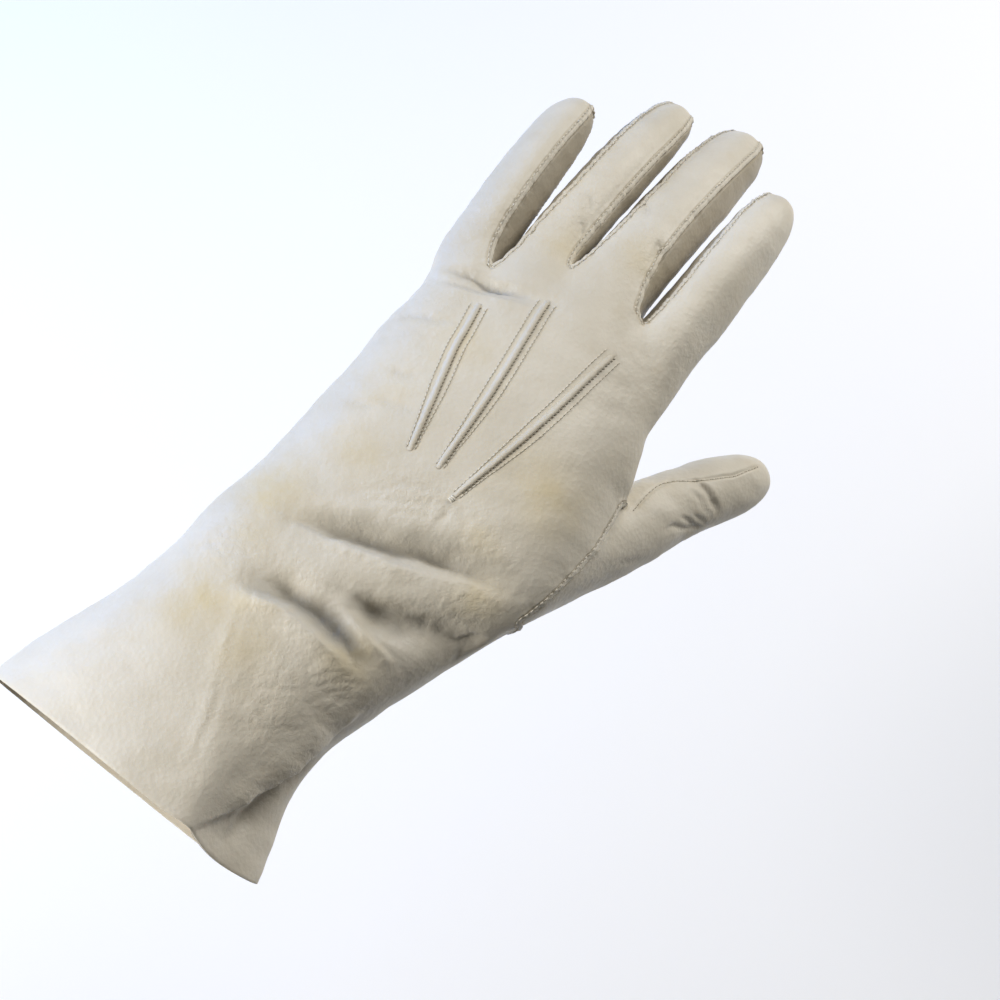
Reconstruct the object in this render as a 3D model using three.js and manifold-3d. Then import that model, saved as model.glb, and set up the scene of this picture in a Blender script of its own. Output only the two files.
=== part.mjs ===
// Left-hand dress glove of thin kid leather, in the form it takes when worn. Millimetres.
// The origin is the centre of the hem opening, +Y runs to the fingers, +X to the thumb, +Z is the back.
import * as THREE from "three";
import Module from "manifold-3d";

// Driving sizes
const HAND_LENGTH = 166;
const KNUCKLE_WIDTH = 87;
const HAND_DEPTH = 40;
const FINGER_LENGTH = 79;
const FINGER_WIDTH = 20;
const THUMB_LENGTH = 61;
const THUMB_WIDTH = 20;
const LEATHER = 1;
const SEAM_GAP = 0.3;
const HEM_SLANT = 10;
const POINT_WIDTH = 2.4;
const POINT_HEIGHT = 1.1;
const POINT_SINK = 0.5;
const FOLD_DEPTH = 2.2;
const SMOOTHING = 1;
const MITRE_LIMIT = 4;
const RELIEF = 0.4;

// Cross-sections of the hand from the hem to the finger roots
// along: share of the hand's length; width, side: shares of its width; rise, drop: shares of its depth
// above and below the axis; turn, roll: degrees; slant: share of the hem's slant; root: share of the
// finger roots' stagger
const SECTIONS = [
  { along: 0, width: 0.925, rise: 0.523, drop: 0.578, turn: 0, roll: -12, side: -0.011, slant: 1, root: 0 },
  { along: 0.084, width: 0.875, rise: 0.551, drop: 0.575, turn: 0, roll: -8, side: -0.028, slant: 0.7, root: 0 },
  { along: 0.181, width: 0.784, rise: 0.551, drop: 0.575, turn: 0, roll: -5, side: -0.026, slant: 0.4, root: 0 },
  { along: 0.277, width: 0.773, rise: 0.55, drop: 0.55, turn: 0, roll: -3, side: -0.041, slant: 0.2, root: 0 },
  { along: 0.325, width: 0.81, rise: 0.54, drop: 0.537, turn: 1.8, roll: -2, side: -0.044, slant: 0, root: 0 },
  { along: 0.373, width: 0.825, rise: 0.521, drop: 0.52, turn: 4.6, roll: -1, side: -0.046, slant: 0, root: 0 },
  { along: 0.422, width: 0.85, rise: 0.504, drop: 0.501, turn: 7.3, roll: 0, side: -0.033, slant: 0, root: 0 },
  { along: 0.47, width: 0.877, rise: 0.488, drop: 0.501, turn: 10.6, roll: 0, side: -0.018, slant: 0, root: 0 },
  { along: 0.518, width: 0.891, rise: 0.475, drop: 0.502, turn: 13.6, roll: 0, side: 0.005, slant: 0, root: 0 },
  { along: 0.59, width: 0.999, rise: 0.452, drop: 0.5, turn: 16, roll: 0, side: 0.058, slant: 0, root: 0 },
  { along: 0.681, width: 1.024, rise: 0.45, drop: 0.475, turn: 17, roll: 0, side: 0.083, slant: 0, root: 0 },
  { along: 0.771, width: 0.993, rise: 0.425, drop: 0.425, turn: 17, roll: 0, side: 0.085, slant: 0, root: 0.1 },
  { along: 0.855, width: 0.922, rise: 0.4, drop: 0.375, turn: 17, roll: 0, side: 0.047, slant: 0, root: 0.3 },
  { along: 0.94, width: 0.848, rise: 0.324, drop: 0.325, turn: 17, roll: 0, side: 0.043, slant: 0, root: 0.6 },
  { along: 1, width: 0.922, rise: 0.235, drop: 0.265, turn: 17, roll: 0, side: 0.024, slant: 0, root: 1 },
];
// Share of the half width at which the seam corners sit, and the power of the rounded section
const CORNER = 0.94;
const ROUNDNESS = 2.4;

// Offsets of single lengthwise lines from the section, as shares of the hand's width
// line 8 is the thumb-side edge of the back, 9 the thumb side, 10 the thumb-side edge of the palm
const OFFSETS = [
  { section: 0, line: 8, out: -0.064, up: 0.055, ahead: 0 },
  { section: 0, line: 9, out: -0.03, up: 0.04, ahead: -0.035 },
  { section: 0, line: 10, out: 0.125, up: -0.062, ahead: 0.06 },
  { section: 1, line: 8, out: -0.076, up: 0.01, ahead: 0 },
  { section: 1, line: 9, out: -0.064, up: 0.011, ahead: 0 },
  { section: 1, line: 10, out: 0.111, up: -0.014, ahead: 0 },
  { section: 2, line: 8, out: -0.03, up: 0.009, ahead: 0 },
  { section: 2, line: 9, out: -0.007, up: 0.002, ahead: 0 },
  { section: 3, line: 8, out: -0.034, up: 0.008, ahead: 0 },
  { section: 3, line: 9, out: -0.013, up: 0.002, ahead: 0 },
  { section: 8, line: 8, out: 0.075, up: -0.013, ahead: 0 },
  { section: 9, line: 8, out: 0.022, up: -0.005, ahead: 0 },
  { section: 10, line: 8, out: 0.008, up: -0.048, ahead: 0.012 },
  { section: 11, line: 8, out: -0.004, up: -0.092, ahead: 0.026 },
  { section: 11, line: 9, out: -0.045, up: -0.08, ahead: 0.027 },
  { section: 11, line: 10, out: -0.045, up: -0.031, ahead: 0.027 },
  { section: 12, line: 9, out: 0.018, up: 0, ahead: 0 },
];

// Fingers from the little finger to the index finger
// width, depth, side: shares of the finger width; length, root: shares of the finger length; splay,
// pitch, curl, roll: degrees; the four seam columns: degrees from the finger's side to its seams
const FINGERS = [
  { name: "little", width: 0.85, depth: 0.83, length: 0.785, root: 0.022, splay: 2.6, pitch: -3.3, curl: 19,
    roll: -2, side: -0.02, thumbBack: 63, thumbPalm: 35, outerBack: 32, outerPalm: 30 },
  { name: "ring", width: 0.86, depth: 0.87, length: 1, root: 0.127, splay: -1.2, pitch: 2.8, curl: 26,
    roll: 6, side: -0.02, thumbBack: 42, thumbPalm: 35, outerBack: 38, outerPalm: 30 },
  { name: "middle", width: 1.09, depth: 0.96, length: 1, root: 0.215, splay: -1.1, pitch: 12.4, curl: 14.6,
    roll: -5.4, side: 0.04, thumbBack: 55, thumbPalm: 35, outerBack: 45, outerPalm: 30 },
  { name: "index", width: 0.97, depth: 1, length: 0.945, root: -0.066, splay: -2.8, pitch: 6, curl: 0,
    roll: -7, side: 0, thumbBack: 57, thumbPalm: 35, outerBack: 66, outerPalm: 30 },
];
// Distances from the finger roots back to the three crotches, as shares of the finger length
const CROTCHES = [
  { name: "fourchette_ring_little", back: 0.144 },
  { name: "fourchette_middle_ring", back: 0.063 },
  { name: "fourchette_index_middle", back: -0.063 },
];
const CROTCH_PALM = 0.063;
const CROTCH_MIDDLE = 0.025;
const ROOT_CROWN = 0.063;
const ROOT_EDGE = -0.025;
const FINGER_ROWS = [
  { along: 0.13, width: 1, depth: 1, seam: 1 },
  { along: 0.32, width: 0.99, depth: 0.97, seam: 1 },
  { along: 0.52, width: 0.98, depth: 0.95, seam: 1 },
  { along: 0.72, width: 0.92, depth: 0.88, seam: 0.9 },
  { along: 0.88, width: 0.8, depth: 0.76, seam: 0.7 },
  { along: 0.98, width: 0.52, depth: 0.5, seam: 0.5 },
];
const FINGER_START = 0.3;
const FINGERTIP = 0.025;
const FINGER_FULLNESS = 1.108;

// Thumb: where it leaves the hand as shares of the hand's width, length and depth, then degrees
const THUMB = { side: 0.329, along: 0.8235, up: -0.363, turn: -1, bend: -17, pitch: 24, start: 138 };
const THUMB_HOLE = { firstSection: 8, lastSection: 11, firstLine: 8, lastLine: 11 };
const THUMB_ROWS = [
  { along: 0.12, width: 1.158, depth: 1.12, tilt: 0.56 },
  { along: 0.3, width: 1.02, depth: 1.025, tilt: 0 },
  { along: 0.45, width: 0.985, depth: 0.975, tilt: 0 },
  { along: 0.65, width: 0.955, depth: 0.975, tilt: 0 },
  { along: 0.85, width: 0.85, depth: 0.82, tilt: 0 },
  { along: 0.97, width: 0.55, depth: 0.51, tilt: 0 },
];
const THUMB_TIP = 0.015;
const THUMB_FULLNESS = 1.047;
const THUMB_CAP = 0.75;

// Folds on the back of the hand: ends as shares of the hand's width and length, reach as a share of
// its width, height as a share of the fold depth; a valley has a height below nought
const FOLDS = [
  { name: "wrist valley", fromSide: -0.19, fromAlong: 0.435, toSide: 0.23, toAlong: 0.585, reach: 0.055, height: -1 },
  { name: "wrist ridge", fromSide: -0.16, fromAlong: 0.485, toSide: 0.1, toAlong: 0.56, reach: 0.06, height: 0.35 },
  { name: "fold over wrist", fromSide: -0.17, fromAlong: 0.335, toSide: 0.27, toAlong: 0.4, reach: 0.05, height: 0.8 },
  { name: "valley over wrist", fromSide: -0.13, fromAlong: 0.375, toSide: 0.2, toAlong: 0.41, reach: 0.045, height: -0.7 },
  { name: "thumb base valley", fromSide: 0.07, fromAlong: 0.43, toSide: 0.33, toAlong: 0.51, reach: 0.05, height: -0.9 },
  { name: "thumb base pinch", fromSide: 0.3, fromAlong: 0.49, toSide: 0.4, toAlong: 0.55, reach: 0.05, height: -0.7 },
  { name: "knuckle crease", fromSide: -0.6, fromAlong: 0.86, toSide: -0.29, toAlong: 0.975, reach: 0.035, height: -0.6 },
  { name: "cuff crease", fromSide: -0.08, fromAlong: 0.3, toSide: 0.27, toAlong: 0.1, reach: 0.05, height: 0.3 },
];
// Share of its height that a fold keeps at its ends, how quickly it gains the rest towards its middle,
// and how far up a surface has to face to carry the whole of it
const FOLD_END = 0.35;
const FOLD_GAIN = 3;
const FOLD_FACING = 0.5;

// The three raised points on the back: ends as shares of the hand's width and length
const POINTS = [
  { fromSide: -0.425, fromAlong: 0.883, toSide: -0.159, toAlong: 0.634 },
  { fromSide: -0.303, fromAlong: 0.972, toSide: -0.074, toAlong: 0.647 },
  { fromSide: -0.044, fromAlong: 1.001, toSide: 0.03, toAlong: 0.64 },
];
// Stations along a point, and the share of its height at the first and the last of them
const POINT_STATIONS = 11;
const POINT_END = 0.4;
const POINT_FACING = 0.2;
const POINT_PROFILE = [
  { across: -0.5, up: 0 },
  { across: -0.38, up: 0.7 },
  { across: 0, up: 1 },
  { across: 0.38, up: 0.7 },
  { across: 0.5, up: 0 },
];

const rad = THREE.MathUtils.degToRad;
const vec = (x, y, z) => new THREE.Vector3(x, y, z);
const mix = (a, b, t) => a.clone().lerp(b, t);

// Axes of a section turned to the little finger, pitched down at its front and rolled thumb side down
function axesOf(turn, pitch, roll) {
  const forward = vec(
    -Math.sin(rad(turn)) * Math.cos(rad(pitch)),
    Math.cos(rad(turn)) * Math.cos(rad(pitch)),
    -Math.sin(rad(pitch)),
  );
  const level = vec(Math.cos(rad(turn)), Math.sin(rad(turn)), 0);
  const upright = level.clone().cross(forward);
  const across = level.multiplyScalar(Math.cos(rad(roll))).addScaledVector(upright, -Math.sin(rad(roll)));
  return { across, forward, up: across.clone().cross(forward) };
}

// A coarse cage of four-sided faces, each with the name of the panel it belongs to
const cage = { points: [], quads: [], panels: [] };
const addPoint = (point) => cage.points.push(point) - 1;
function addQuad(panel, a, b, c, d) {
  cage.quads.push([a, b, c, d]);
  cage.panels.push(panel);
}

// Lengthwise lines 0 to 8 run over the back, 9 down the thumb side, 10 to 18 under the palm, 19 up the
// little finger side; each finger takes two spaces of the back and two of the palm
const totalWidth = FINGERS.reduce((sum, finger) => sum + finger.width, 0);
const LINES = [-1];
let passed = 0;
for (const finger of FINGERS) {
  LINES.push(-1 + (2 * passed + finger.width) / totalWidth);
  passed += finger.width;
  LINES.push(-1 + (2 * passed) / totalWidth);
}
const BACK_LINES = LINES.length;
const RING = 2 * BACK_LINES + 2;
const palmLine = (line) => 2 * BACK_LINES - line;

// How far each line of the last section stands before the finger roots
function rootStagger(line, onPalm) {
  if (line === 0) return FINGERS[0].root + ROOT_EDGE;
  if (line === BACK_LINES - 1) return FINGERS[FINGERS.length - 1].root + ROOT_EDGE;
  const finger = (line - 1) >> 1;
  if (line % 2) return FINGERS[finger].root + ROOT_CROWN + (onPalm ? CROTCH_PALM / 2 : 0);
  const between = (FINGERS[finger].root + FINGERS[finger + 1].root) / 2;
  return between - CROTCHES[finger].back + (onPalm ? CROTCH_PALM : 0);
}

const origin = vec(0, 0, 0);
const frames = [];
const rings = [];
SECTIONS.forEach((section, number) => {
  const axes = axesOf(section.turn, 0, section.roll);
  if (number) {
    const before = SECTIONS[number - 1];
    const step = axesOf((section.turn + before.turn) / 2, 0, 0).forward;
    origin.addScaledVector(step, (section.along - before.along) * HAND_LENGTH);
  }
  const centre = origin.clone().addScaledVector(axes.across, section.side * KNUCKLE_WIDTH);
  frames.push({ centre, ...axes });
  const ring = [];
  for (let place = 0; place < RING; place++) {
    const onBack = place < BACK_LINES;
    const onSide = place === BACK_LINES || place === RING - 1;
    const line = onBack ? place : palmLine(place);
    const share = onSide ? (place === BACK_LINES ? 1 : -1) : LINES[line] * CORNER;
    const height = Math.pow(1 - Math.pow(Math.abs(share), ROUNDNESS), 1 / ROUNDNESS);
    const reach = onBack ? section.rise : -section.drop;
    const edge = place === BACK_LINES ? BACK_LINES - 1 : 0;
    const stagger = onSide ? rootStagger(edge, false) : rootStagger(line, !onBack);
    ring.push(
      centre
        .clone()
        .addScaledVector(axes.across, (share * section.width * KNUCKLE_WIDTH) / 2)
        .addScaledVector(axes.up, height * reach * HAND_DEPTH)
        .addScaledVector(axes.forward, section.slant * HEM_SLANT * share)
        .addScaledVector(axes.forward, section.root * stagger * FINGER_LENGTH),
    );
  }
  for (const offset of OFFSETS) {
    if (offset.section !== number) continue;
    ring[offset.line]
      .addScaledVector(axes.across, offset.out * KNUCKLE_WIDTH)
      .addScaledVector(axes.up, offset.up * KNUCKLE_WIDTH)
      .addScaledVector(axes.forward, offset.ahead * KNUCKLE_WIDTH);
  }
  rings.push(ring.map(addPoint));
});

// Faces of the hand, round the hole for the thumb
for (let section = 0; section + 1 < rings.length; section++) {
  for (let place = 0; place < RING; place++) {
    const beside = section >= THUMB_HOLE.firstSection && section < THUMB_HOLE.lastSection;
    if (beside && place >= THUMB_HOLE.firstLine && place < THUMB_HOLE.lastLine) continue;
    const next = (place + 1) % RING;
    const here = rings[section];
    const ahead = rings[section + 1];
    addQuad("trank", here[place], here[next], ahead[next], ahead[place]);
  }
}

// A curved axis cut into short steps, for a finger or the thumb
const AXIS_STEPS = 60;
function curvedAxis(start, length, turn, bend, pitch, curl) {
  const stations = [];
  const place = start.clone();
  for (let step = 0; step <= AXIS_STEPS; step++) {
    const share = step / AXIS_STEPS;
    const angles = { turn: turn + bend * share, pitch: pitch + curl * share };
    stations.push({ place: place.clone(), ...angles });
    place.addScaledVector(axesOf(angles.turn, angles.pitch, 0).forward, length / AXIS_STEPS);
  }
  return (share) => {
    const step = Math.min(AXIS_STEPS - 1, Math.floor(share * AXIS_STEPS));
    const { turn: turned, pitch: pitched } = stations[step];
    const between = share * AXIS_STEPS - step;
    return { place: mix(stations[step].place, stations[step + 1].place, between), turned, pitched };
  };
}

// Fingers: rings of eight points, at the four seams and midway between them
const last = rings[rings.length - 1];
const rootFrame = frames[frames.length - 1];
const rootTurn = SECTIONS[SECTIONS.length - 1].turn;
const rootWidth = SECTIONS[SECTIONS.length - 1].width * KNUCKLE_WIDTH;
const crotchMiddles = CROTCHES.map((crotch, number) => {
  const line = 2 * (number + 1);
  const middle = mix(cage.points[last[line]], cage.points[last[palmLine(line)]], 0.5);
  return addPoint(middle.addScaledVector(rootFrame.forward, CROTCH_MIDDLE * FINGER_LENGTH));
});
FINGERS.forEach((finger, number) => {
  const back = 2 * number;
  const thumbSide = number < CROTCHES.length ? crotchMiddles[number] : last[BACK_LINES];
  const outerSide = number > 0 ? crotchMiddles[number - 1] : last[RING - 1];
  let ring = [
    last[back],
    last[back + 1],
    last[back + 2],
    thumbSide,
    last[palmLine(back + 2)],
    last[palmLine(back + 1)],
    last[palmLine(back)],
    outerSide,
  ];
  const middleLine = ((LINES[back] + LINES[back + 2]) / 2) * CORNER;
  const start = rootFrame.centre
    .clone()
    .addScaledVector(rootFrame.across, (middleLine * rootWidth) / 2)
    .addScaledVector(rootFrame.across, finger.side * FINGER_WIDTH)
    .addScaledVector(rootFrame.forward, (finger.root + ROOT_CROWN * FINGER_START) * FINGER_LENGTH);
  const length = finger.length * FINGER_LENGTH;
  const axis = curvedAxis(start, length, rootTurn + finger.splay, 0, finger.pitch, finger.curl);
  for (const row of FINGER_ROWS) {
    const { place, turned, pitched } = axis(row.along);
    const { across, up } = axesOf(turned, pitched, finger.roll);
    const halfWidth = (finger.width * row.width * FINGER_WIDTH * FINGER_FULLNESS) / 2;
    const halfDepth = (finger.depth * row.depth * FINGER_WIDTH * FINGER_FULLNESS) / 2;
    const angles = [
      180 - finger.outerBack * row.seam,
      90,
      finger.thumbBack * row.seam,
      0,
      -finger.thumbPalm * row.seam,
      -90,
      180 + finger.outerPalm * row.seam,
      180,
    ];
    const next = angles.map((angle) =>
      addPoint(
        place
          .clone()
          .addScaledVector(across, Math.cos(rad(angle)) * halfWidth)
          .addScaledVector(up, Math.sin(rad(angle)) * halfDepth),
      ),
    );
    for (let k = 0; k < 8; k++) {
      const onThumbSide = (k === 2 || k === 3) && number < CROTCHES.length;
      const onOuterSide = (k === 6 || k === 7) && number > 0;
      const crotch = onThumbSide ? number : number - 1;
      const panel = onThumbSide || onOuterSide ? CROTCHES[crotch].name : "trank";
      const k2 = (k + 1) % 8;
      addQuad(panel, ring[k], ring[k2], next[k2], next[k]);
    }
    ring = next;
  }
  const end = axis(1);
  const out = axesOf(end.turned, end.pitched, 0).forward;
  const tip = addPoint(end.place.addScaledVector(out, FINGERTIP * FINGER_LENGTH));
  addQuad("trank", ring[0], ring[1], tip, ring[7]);
  addQuad("trank", ring[1], ring[2], ring[3], tip);
  addQuad("trank", ring[7], tip, ring[5], ring[6]);
  addQuad("trank", tip, ring[3], ring[4], ring[5]);
});

// Thumb: rings that start as the rim of the hole
const { firstSection, lastSection, firstLine, lastLine } = THUMB_HOLE;
const rim = [];
for (let place = firstLine; place <= lastLine; place++) rim.push(rings[lastSection][place]);
for (let section = lastSection - 1; section >= firstSection; section--) rim.push(rings[section][lastLine]);
for (let place = lastLine - 1; place >= firstLine; place--) rim.push(rings[firstSection][place]);
for (let section = firstSection + 1; section < lastSection; section++) rim.push(rings[section][firstLine]);
const thumbStart = vec(THUMB.side * KNUCKLE_WIDTH, THUMB.along * HAND_LENGTH, THUMB.up * HAND_DEPTH);
const thumbAxis = curvedAxis(thumbStart, THUMB_LENGTH, THUMB.turn, THUMB.bend, THUMB.pitch, 0);
let thumbRing = rim;
for (const row of THUMB_ROWS) {
  const { place, turned, pitched } = thumbAxis(row.along);
  const { across, forward, up } = axesOf(turned, pitched, 0);
  const halfWidth = (row.width * THUMB_WIDTH * THUMB_FULLNESS) / 2;
  const halfDepth = (row.depth * THUMB_WIDTH * THUMB_FULLNESS) / 2;
  const next = rim.map((point, k) => {
    const angle = rad(THUMB.start + (360 * k) / rim.length);
    return addPoint(
      place
        .clone()
        .addScaledVector(across, Math.cos(angle) * halfWidth)
        .addScaledVector(up, Math.sin(angle) * halfDepth)
        .addScaledVector(forward, -row.tilt * Math.cos(angle) * halfWidth),
    );
  });
  rim.forEach((point, k) => {
    const k2 = (k + 1) % rim.length;
    addQuad("thumb", thumbRing[k2], thumbRing[k], next[k], next[k2]);
  });
  thumbRing = next;
}
const thumbEnd = thumbAxis(1);
const thumbOut = axesOf(thumbEnd.turned, thumbEnd.pitched, 0).forward;
const thumbTip = thumbEnd.place.addScaledVector(thumbOut, THUMB_TIP * THUMB_LENGTH);
const capPoint = (from, to, share) =>
  addPoint(mix(mix(cage.points[thumbRing[from]], cage.points[thumbRing[to]], share), thumbTip, THUMB_CAP));
const capRows = [
  [thumbRing[0], thumbRing[1], thumbRing[2], thumbRing[3]],
  [thumbRing[11], capPoint(11, 4, 1 / 3), capPoint(11, 4, 2 / 3), thumbRing[4]],
  [thumbRing[10], capPoint(10, 5, 1 / 3), capPoint(10, 5, 2 / 3), thumbRing[5]],
  [thumbRing[9], thumbRing[8], thumbRing[7], thumbRing[6]],
];
for (let row = 0; row < 3; row++) {
  for (let column = 0; column < 3; column++) {
    addQuad(
      "thumb",
      capRows[row][column],
      capRows[row + 1][column],
      capRows[row + 1][column + 1],
      capRows[row][column + 1],
    );
  }
}

// One round of Catmull-Clark smoothing of a cage, which keeps its open hem as a smooth edge
function smoothed({ points, quads, panels }) {
  const centres = quads.map((quad) =>
    quad.reduce((sum, index) => sum.add(points[index]), vec(0, 0, 0)).multiplyScalar(1 / 4),
  );
  const edges = new Map();
  const edgeOf = (a, b) => Math.min(a, b) * points.length + Math.max(a, b);
  quads.forEach((quad, face) =>
    quad.forEach((a, corner) => {
      const b = quad[(corner + 1) % 4];
      const key = edgeOf(a, b);
      if (!edges.has(key)) edges.set(key, { a, b, faces: [] });
      edges.get(key).faces.push(face);
    }),
  );
  const around = points.map(() => ({ faces: 0, centre: vec(0, 0, 0), edges: 0, middle: vec(0, 0, 0), rim: [] }));
  quads.forEach((quad, face) =>
    quad.forEach((index) => {
      around[index].faces += 1;
      around[index].centre.add(centres[face]);
    }),
  );
  for (const { a, b, faces } of edges.values()) {
    const middle = mix(points[a], points[b], 0.5);
    for (const [end, other] of [[a, b], [b, a]]) {
      around[end].edges += 1;
      around[end].middle.add(middle);
      if (faces.length === 1) around[end].rim.push(other);
    }
  }
  const made = points.map((point, index) => {
    const { faces, centre, edges: valence, middle, rim: open } = around[index];
    if (open.length === 2) {
      const sum = points[open[0]].clone().add(points[open[1]]);
      return point.clone().multiplyScalar(6 / 8).addScaledVector(sum, 1 / 8);
    }
    return point
      .clone()
      .multiplyScalar((valence - 3) / valence)
      .addScaledVector(centre, 1 / (faces * valence))
      .addScaledVector(middle, 2 / (valence * valence));
  });
  const firstCentre = made.length;
  made.push(...centres);
  for (const edge of edges.values()) {
    const sum = points[edge.a].clone().add(points[edge.b]);
    edge.faces.length === 2 && edge.faces.forEach((face) => sum.add(centres[face]));
    edge.index = made.push(sum.multiplyScalar(edge.faces.length === 2 ? 1 / 4 : 1 / 2)) - 1;
  }
  const newQuads = [];
  const newPanels = [];
  quads.forEach((quad, face) =>
    quad.forEach((a, corner) => {
      const ahead = edges.get(edgeOf(a, quad[(corner + 1) % 4])).index;
      const behind = edges.get(edgeOf(quad[(corner + 3) % 4], a)).index;
      newQuads.push([a, ahead, firstCentre + face, behind]);
      newPanels.push(panels[face]);
    }),
  );
  return { points: made, quads: newQuads, panels: newPanels };
}

// Outward unit direction of the surface at every point
function normalsOf({ points, quads }) {
  const normals = points.map(() => vec(0, 0, 0));
  for (const [a, b, c, d] of quads) {
    const area = points[c].clone().sub(points[a]).cross(points[d].clone().sub(points[b]));
    for (const index of [a, b, c, d]) normals[index].add(area);
  }
  return normals.map((normal) => normal.normalize());
}

// How high the folds lift or sink a place on the back
function foldHeight(point) {
  let height = 0;
  for (const fold of FOLDS) {
    const from = new THREE.Vector2(fold.fromSide * KNUCKLE_WIDTH, fold.fromAlong * HAND_LENGTH);
    const run = new THREE.Vector2(fold.toSide * KNUCKLE_WIDTH, fold.toAlong * HAND_LENGTH).sub(from);
    const reach = fold.reach * KNUCKLE_WIDTH;
    const away = new THREE.Vector2(point.x, point.y).sub(from);
    const along = THREE.MathUtils.clamp(away.dot(run) / run.lengthSq(), 0, 1);
    const distance = away.distanceTo(run.clone().multiplyScalar(along)) / reach;
    const fade = Math.min(1, FOLD_GAIN * along + FOLD_END, FOLD_GAIN * (1 - along) + FOLD_END);
    height += fold.height * FOLD_DEPTH * fade * Math.exp(-distance * distance);
  }
  return height;
}

let skin = cage;
for (let round = 0; round < SMOOTHING; round++) skin = smoothed(skin);
normalsOf(skin).forEach((normal, index) => {
  const facing = THREE.MathUtils.smoothstep(normal.z, 0, FOLD_FACING);
  skin.points[index].addScaledVector(normal, facing * foldHeight(skin.points[index]));
});
const skinNormals = normalsOf(skin);

// Offset of a border corner that keeps the same distance from both of its edges
function mitre([before, after]) {
  const sum = before.clone().add(after);
  return sum.multiplyScalar(Math.min(MITRE_LIMIT / sum.length(), 2 / sum.lengthSq()));
}

// A panel of leather as one closed body: its faces, the same faces one leather thickness further in,
// and a rim between them that is drawn back from the seam; spare is added to both of its sides
function panelSolid(name, drawnBack = SEAM_GAP / 2, spare = 0) {
  const faces = skin.quads.filter((quad, face) => skin.panels[face] === name);
  const sides = new Set();
  for (const quad of faces) quad.forEach((a, corner) => sides.add(a + "," + quad[(corner + 1) % 4]));
  const border = [];
  for (const quad of faces) {
    quad.forEach((a, corner) => {
      const b = quad[(corner + 1) % 4];
      if (!sides.has(b + "," + a)) border.push([a, b]);
    });
  }
  const pull = new Map();
  for (const [a, b] of border) {
    const edge = skin.points[b].clone().sub(skin.points[a]);
    for (const index of [a, b]) {
      if (!pull.has(index)) pull.set(index, []);
      pull.get(index).push(skinNormals[index].clone().cross(edge).normalize());
    }
  }
  const used = [...new Set(faces.flat())];
  const place = new Map(used.map((index, number) => [index, number]));
  const positions = [];
  for (const depth of [-spare, LEATHER + spare]) {
    for (const index of used) {
      const point = skin.points[index].clone().addScaledVector(skinNormals[index], -depth);
      if (pull.has(index)) point.addScaledVector(mitre(pull.get(index)), drawnBack);
      positions.push(point.x, point.y, point.z);
    }
  }
  const triangles = [];
  for (const quad of faces) {
    const across = skin.points[quad[0]].distanceTo(skin.points[quad[2]]);
    const other = skin.points[quad[1]].distanceTo(skin.points[quad[3]]);
    const [a, b, c, d] = across <= other ? quad : [quad[1], quad[2], quad[3], quad[0]];
    for (const [p, q, r] of [[a, b, c], [a, c, d]]) {
      triangles.push(place.get(p), place.get(q), place.get(r));
      triangles.push(place.get(p) + used.length, place.get(r) + used.length, place.get(q) + used.length);
    }
  }
  for (const [a, b] of border) {
    const [p, q] = [place.get(a), place.get(b)];
    triangles.push(p, p + used.length, q + used.length, p, q + used.length, q);
  }
  return { positions, triangles };
}

// Height and direction of the trank's outer face at a place seen from above
const backFaces = skin.quads.filter(
  (quad, face) => skin.panels[face] === "trank" && quad.every((index) => skinNormals[index].z > POINT_FACING),
);
function backAt(x, y) {
  for (const quad of backFaces) {
    for (const [a, b, c] of [[quad[0], quad[1], quad[2]], [quad[0], quad[2], quad[3]]]) {
      const [pa, pb, pc] = [skin.points[a], skin.points[b], skin.points[c]];
      const whole = (pb.x - pa.x) * (pc.y - pa.y) - (pc.x - pa.x) * (pb.y - pa.y);
      const shareB = ((x - pa.x) * (pc.y - pa.y) - (pc.x - pa.x) * (y - pa.y)) / whole;
      const shareC = ((pb.x - pa.x) * (y - pa.y) - (x - pa.x) * (pb.y - pa.y)) / whole;
      const shareA = 1 - shareB - shareC;
      if (Math.min(shareA, shareB, shareC) < -1e-6) continue;
      const normal = vec(0, 0, 0)
        .addScaledVector(skinNormals[a], shareA)
        .addScaledVector(skinNormals[b], shareB)
        .addScaledVector(skinNormals[c], shareC)
        .normalize();
      return { place: vec(x, y, shareA * pa.z + shareB * pb.z + shareC * pc.z), normal };
    }
  }
  return null;
}

// One raised point: a low rounded cord that follows the back
function pointSolid(point) {
  const from = vec(point.fromSide * KNUCKLE_WIDTH, point.fromAlong * HAND_LENGTH, 0);
  const to = vec(point.toSide * KNUCKLE_WIDTH, point.toAlong * HAND_LENGTH, 0);
  const run = to.clone().sub(from).normalize();
  const positions = [];
  const corners = POINT_PROFILE.length + 2;
  for (let station = 0; station < POINT_STATIONS; station++) {
    const share = station / (POINT_STATIONS - 1);
    const at = mix(from, to, share);
    const { place, normal } = backAt(at.x, at.y);
    const across = run.clone().cross(normal).normalize();
    const ends = station === 0 || station === POINT_STATIONS - 1 ? POINT_END : 1;
    const put = (side, up) => {
      const corner = place
        .clone()
        .addScaledVector(across, side * POINT_WIDTH)
        .addScaledVector(normal, up);
      positions.push(corner.x, corner.y, corner.z);
    };
    put(POINT_PROFILE[0].across, -POINT_SINK);
    for (const { across: side, up } of POINT_PROFILE) put(side, up * ends * POINT_HEIGHT);
    put(POINT_PROFILE[POINT_PROFILE.length - 1].across, -POINT_SINK);
  }
  const triangles = [];
  for (let station = 0; station + 1 < POINT_STATIONS; station++) {
    for (let corner = 0; corner < corners; corner++) {
      const next = (corner + 1) % corners;
      const [a, b] = [station * corners + corner, station * corners + next];
      triangles.push(a, b + corners, a + corners, a, b, b + corners);
    }
  }
  const end = (POINT_STATIONS - 1) * corners;
  for (let corner = 1; corner + 1 < corners; corner++) {
    triangles.push(0, corner + 1, corner);
    triangles.push(end, end + corner, end + corner + 1);
  }
  return { positions, triangles };
}

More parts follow.
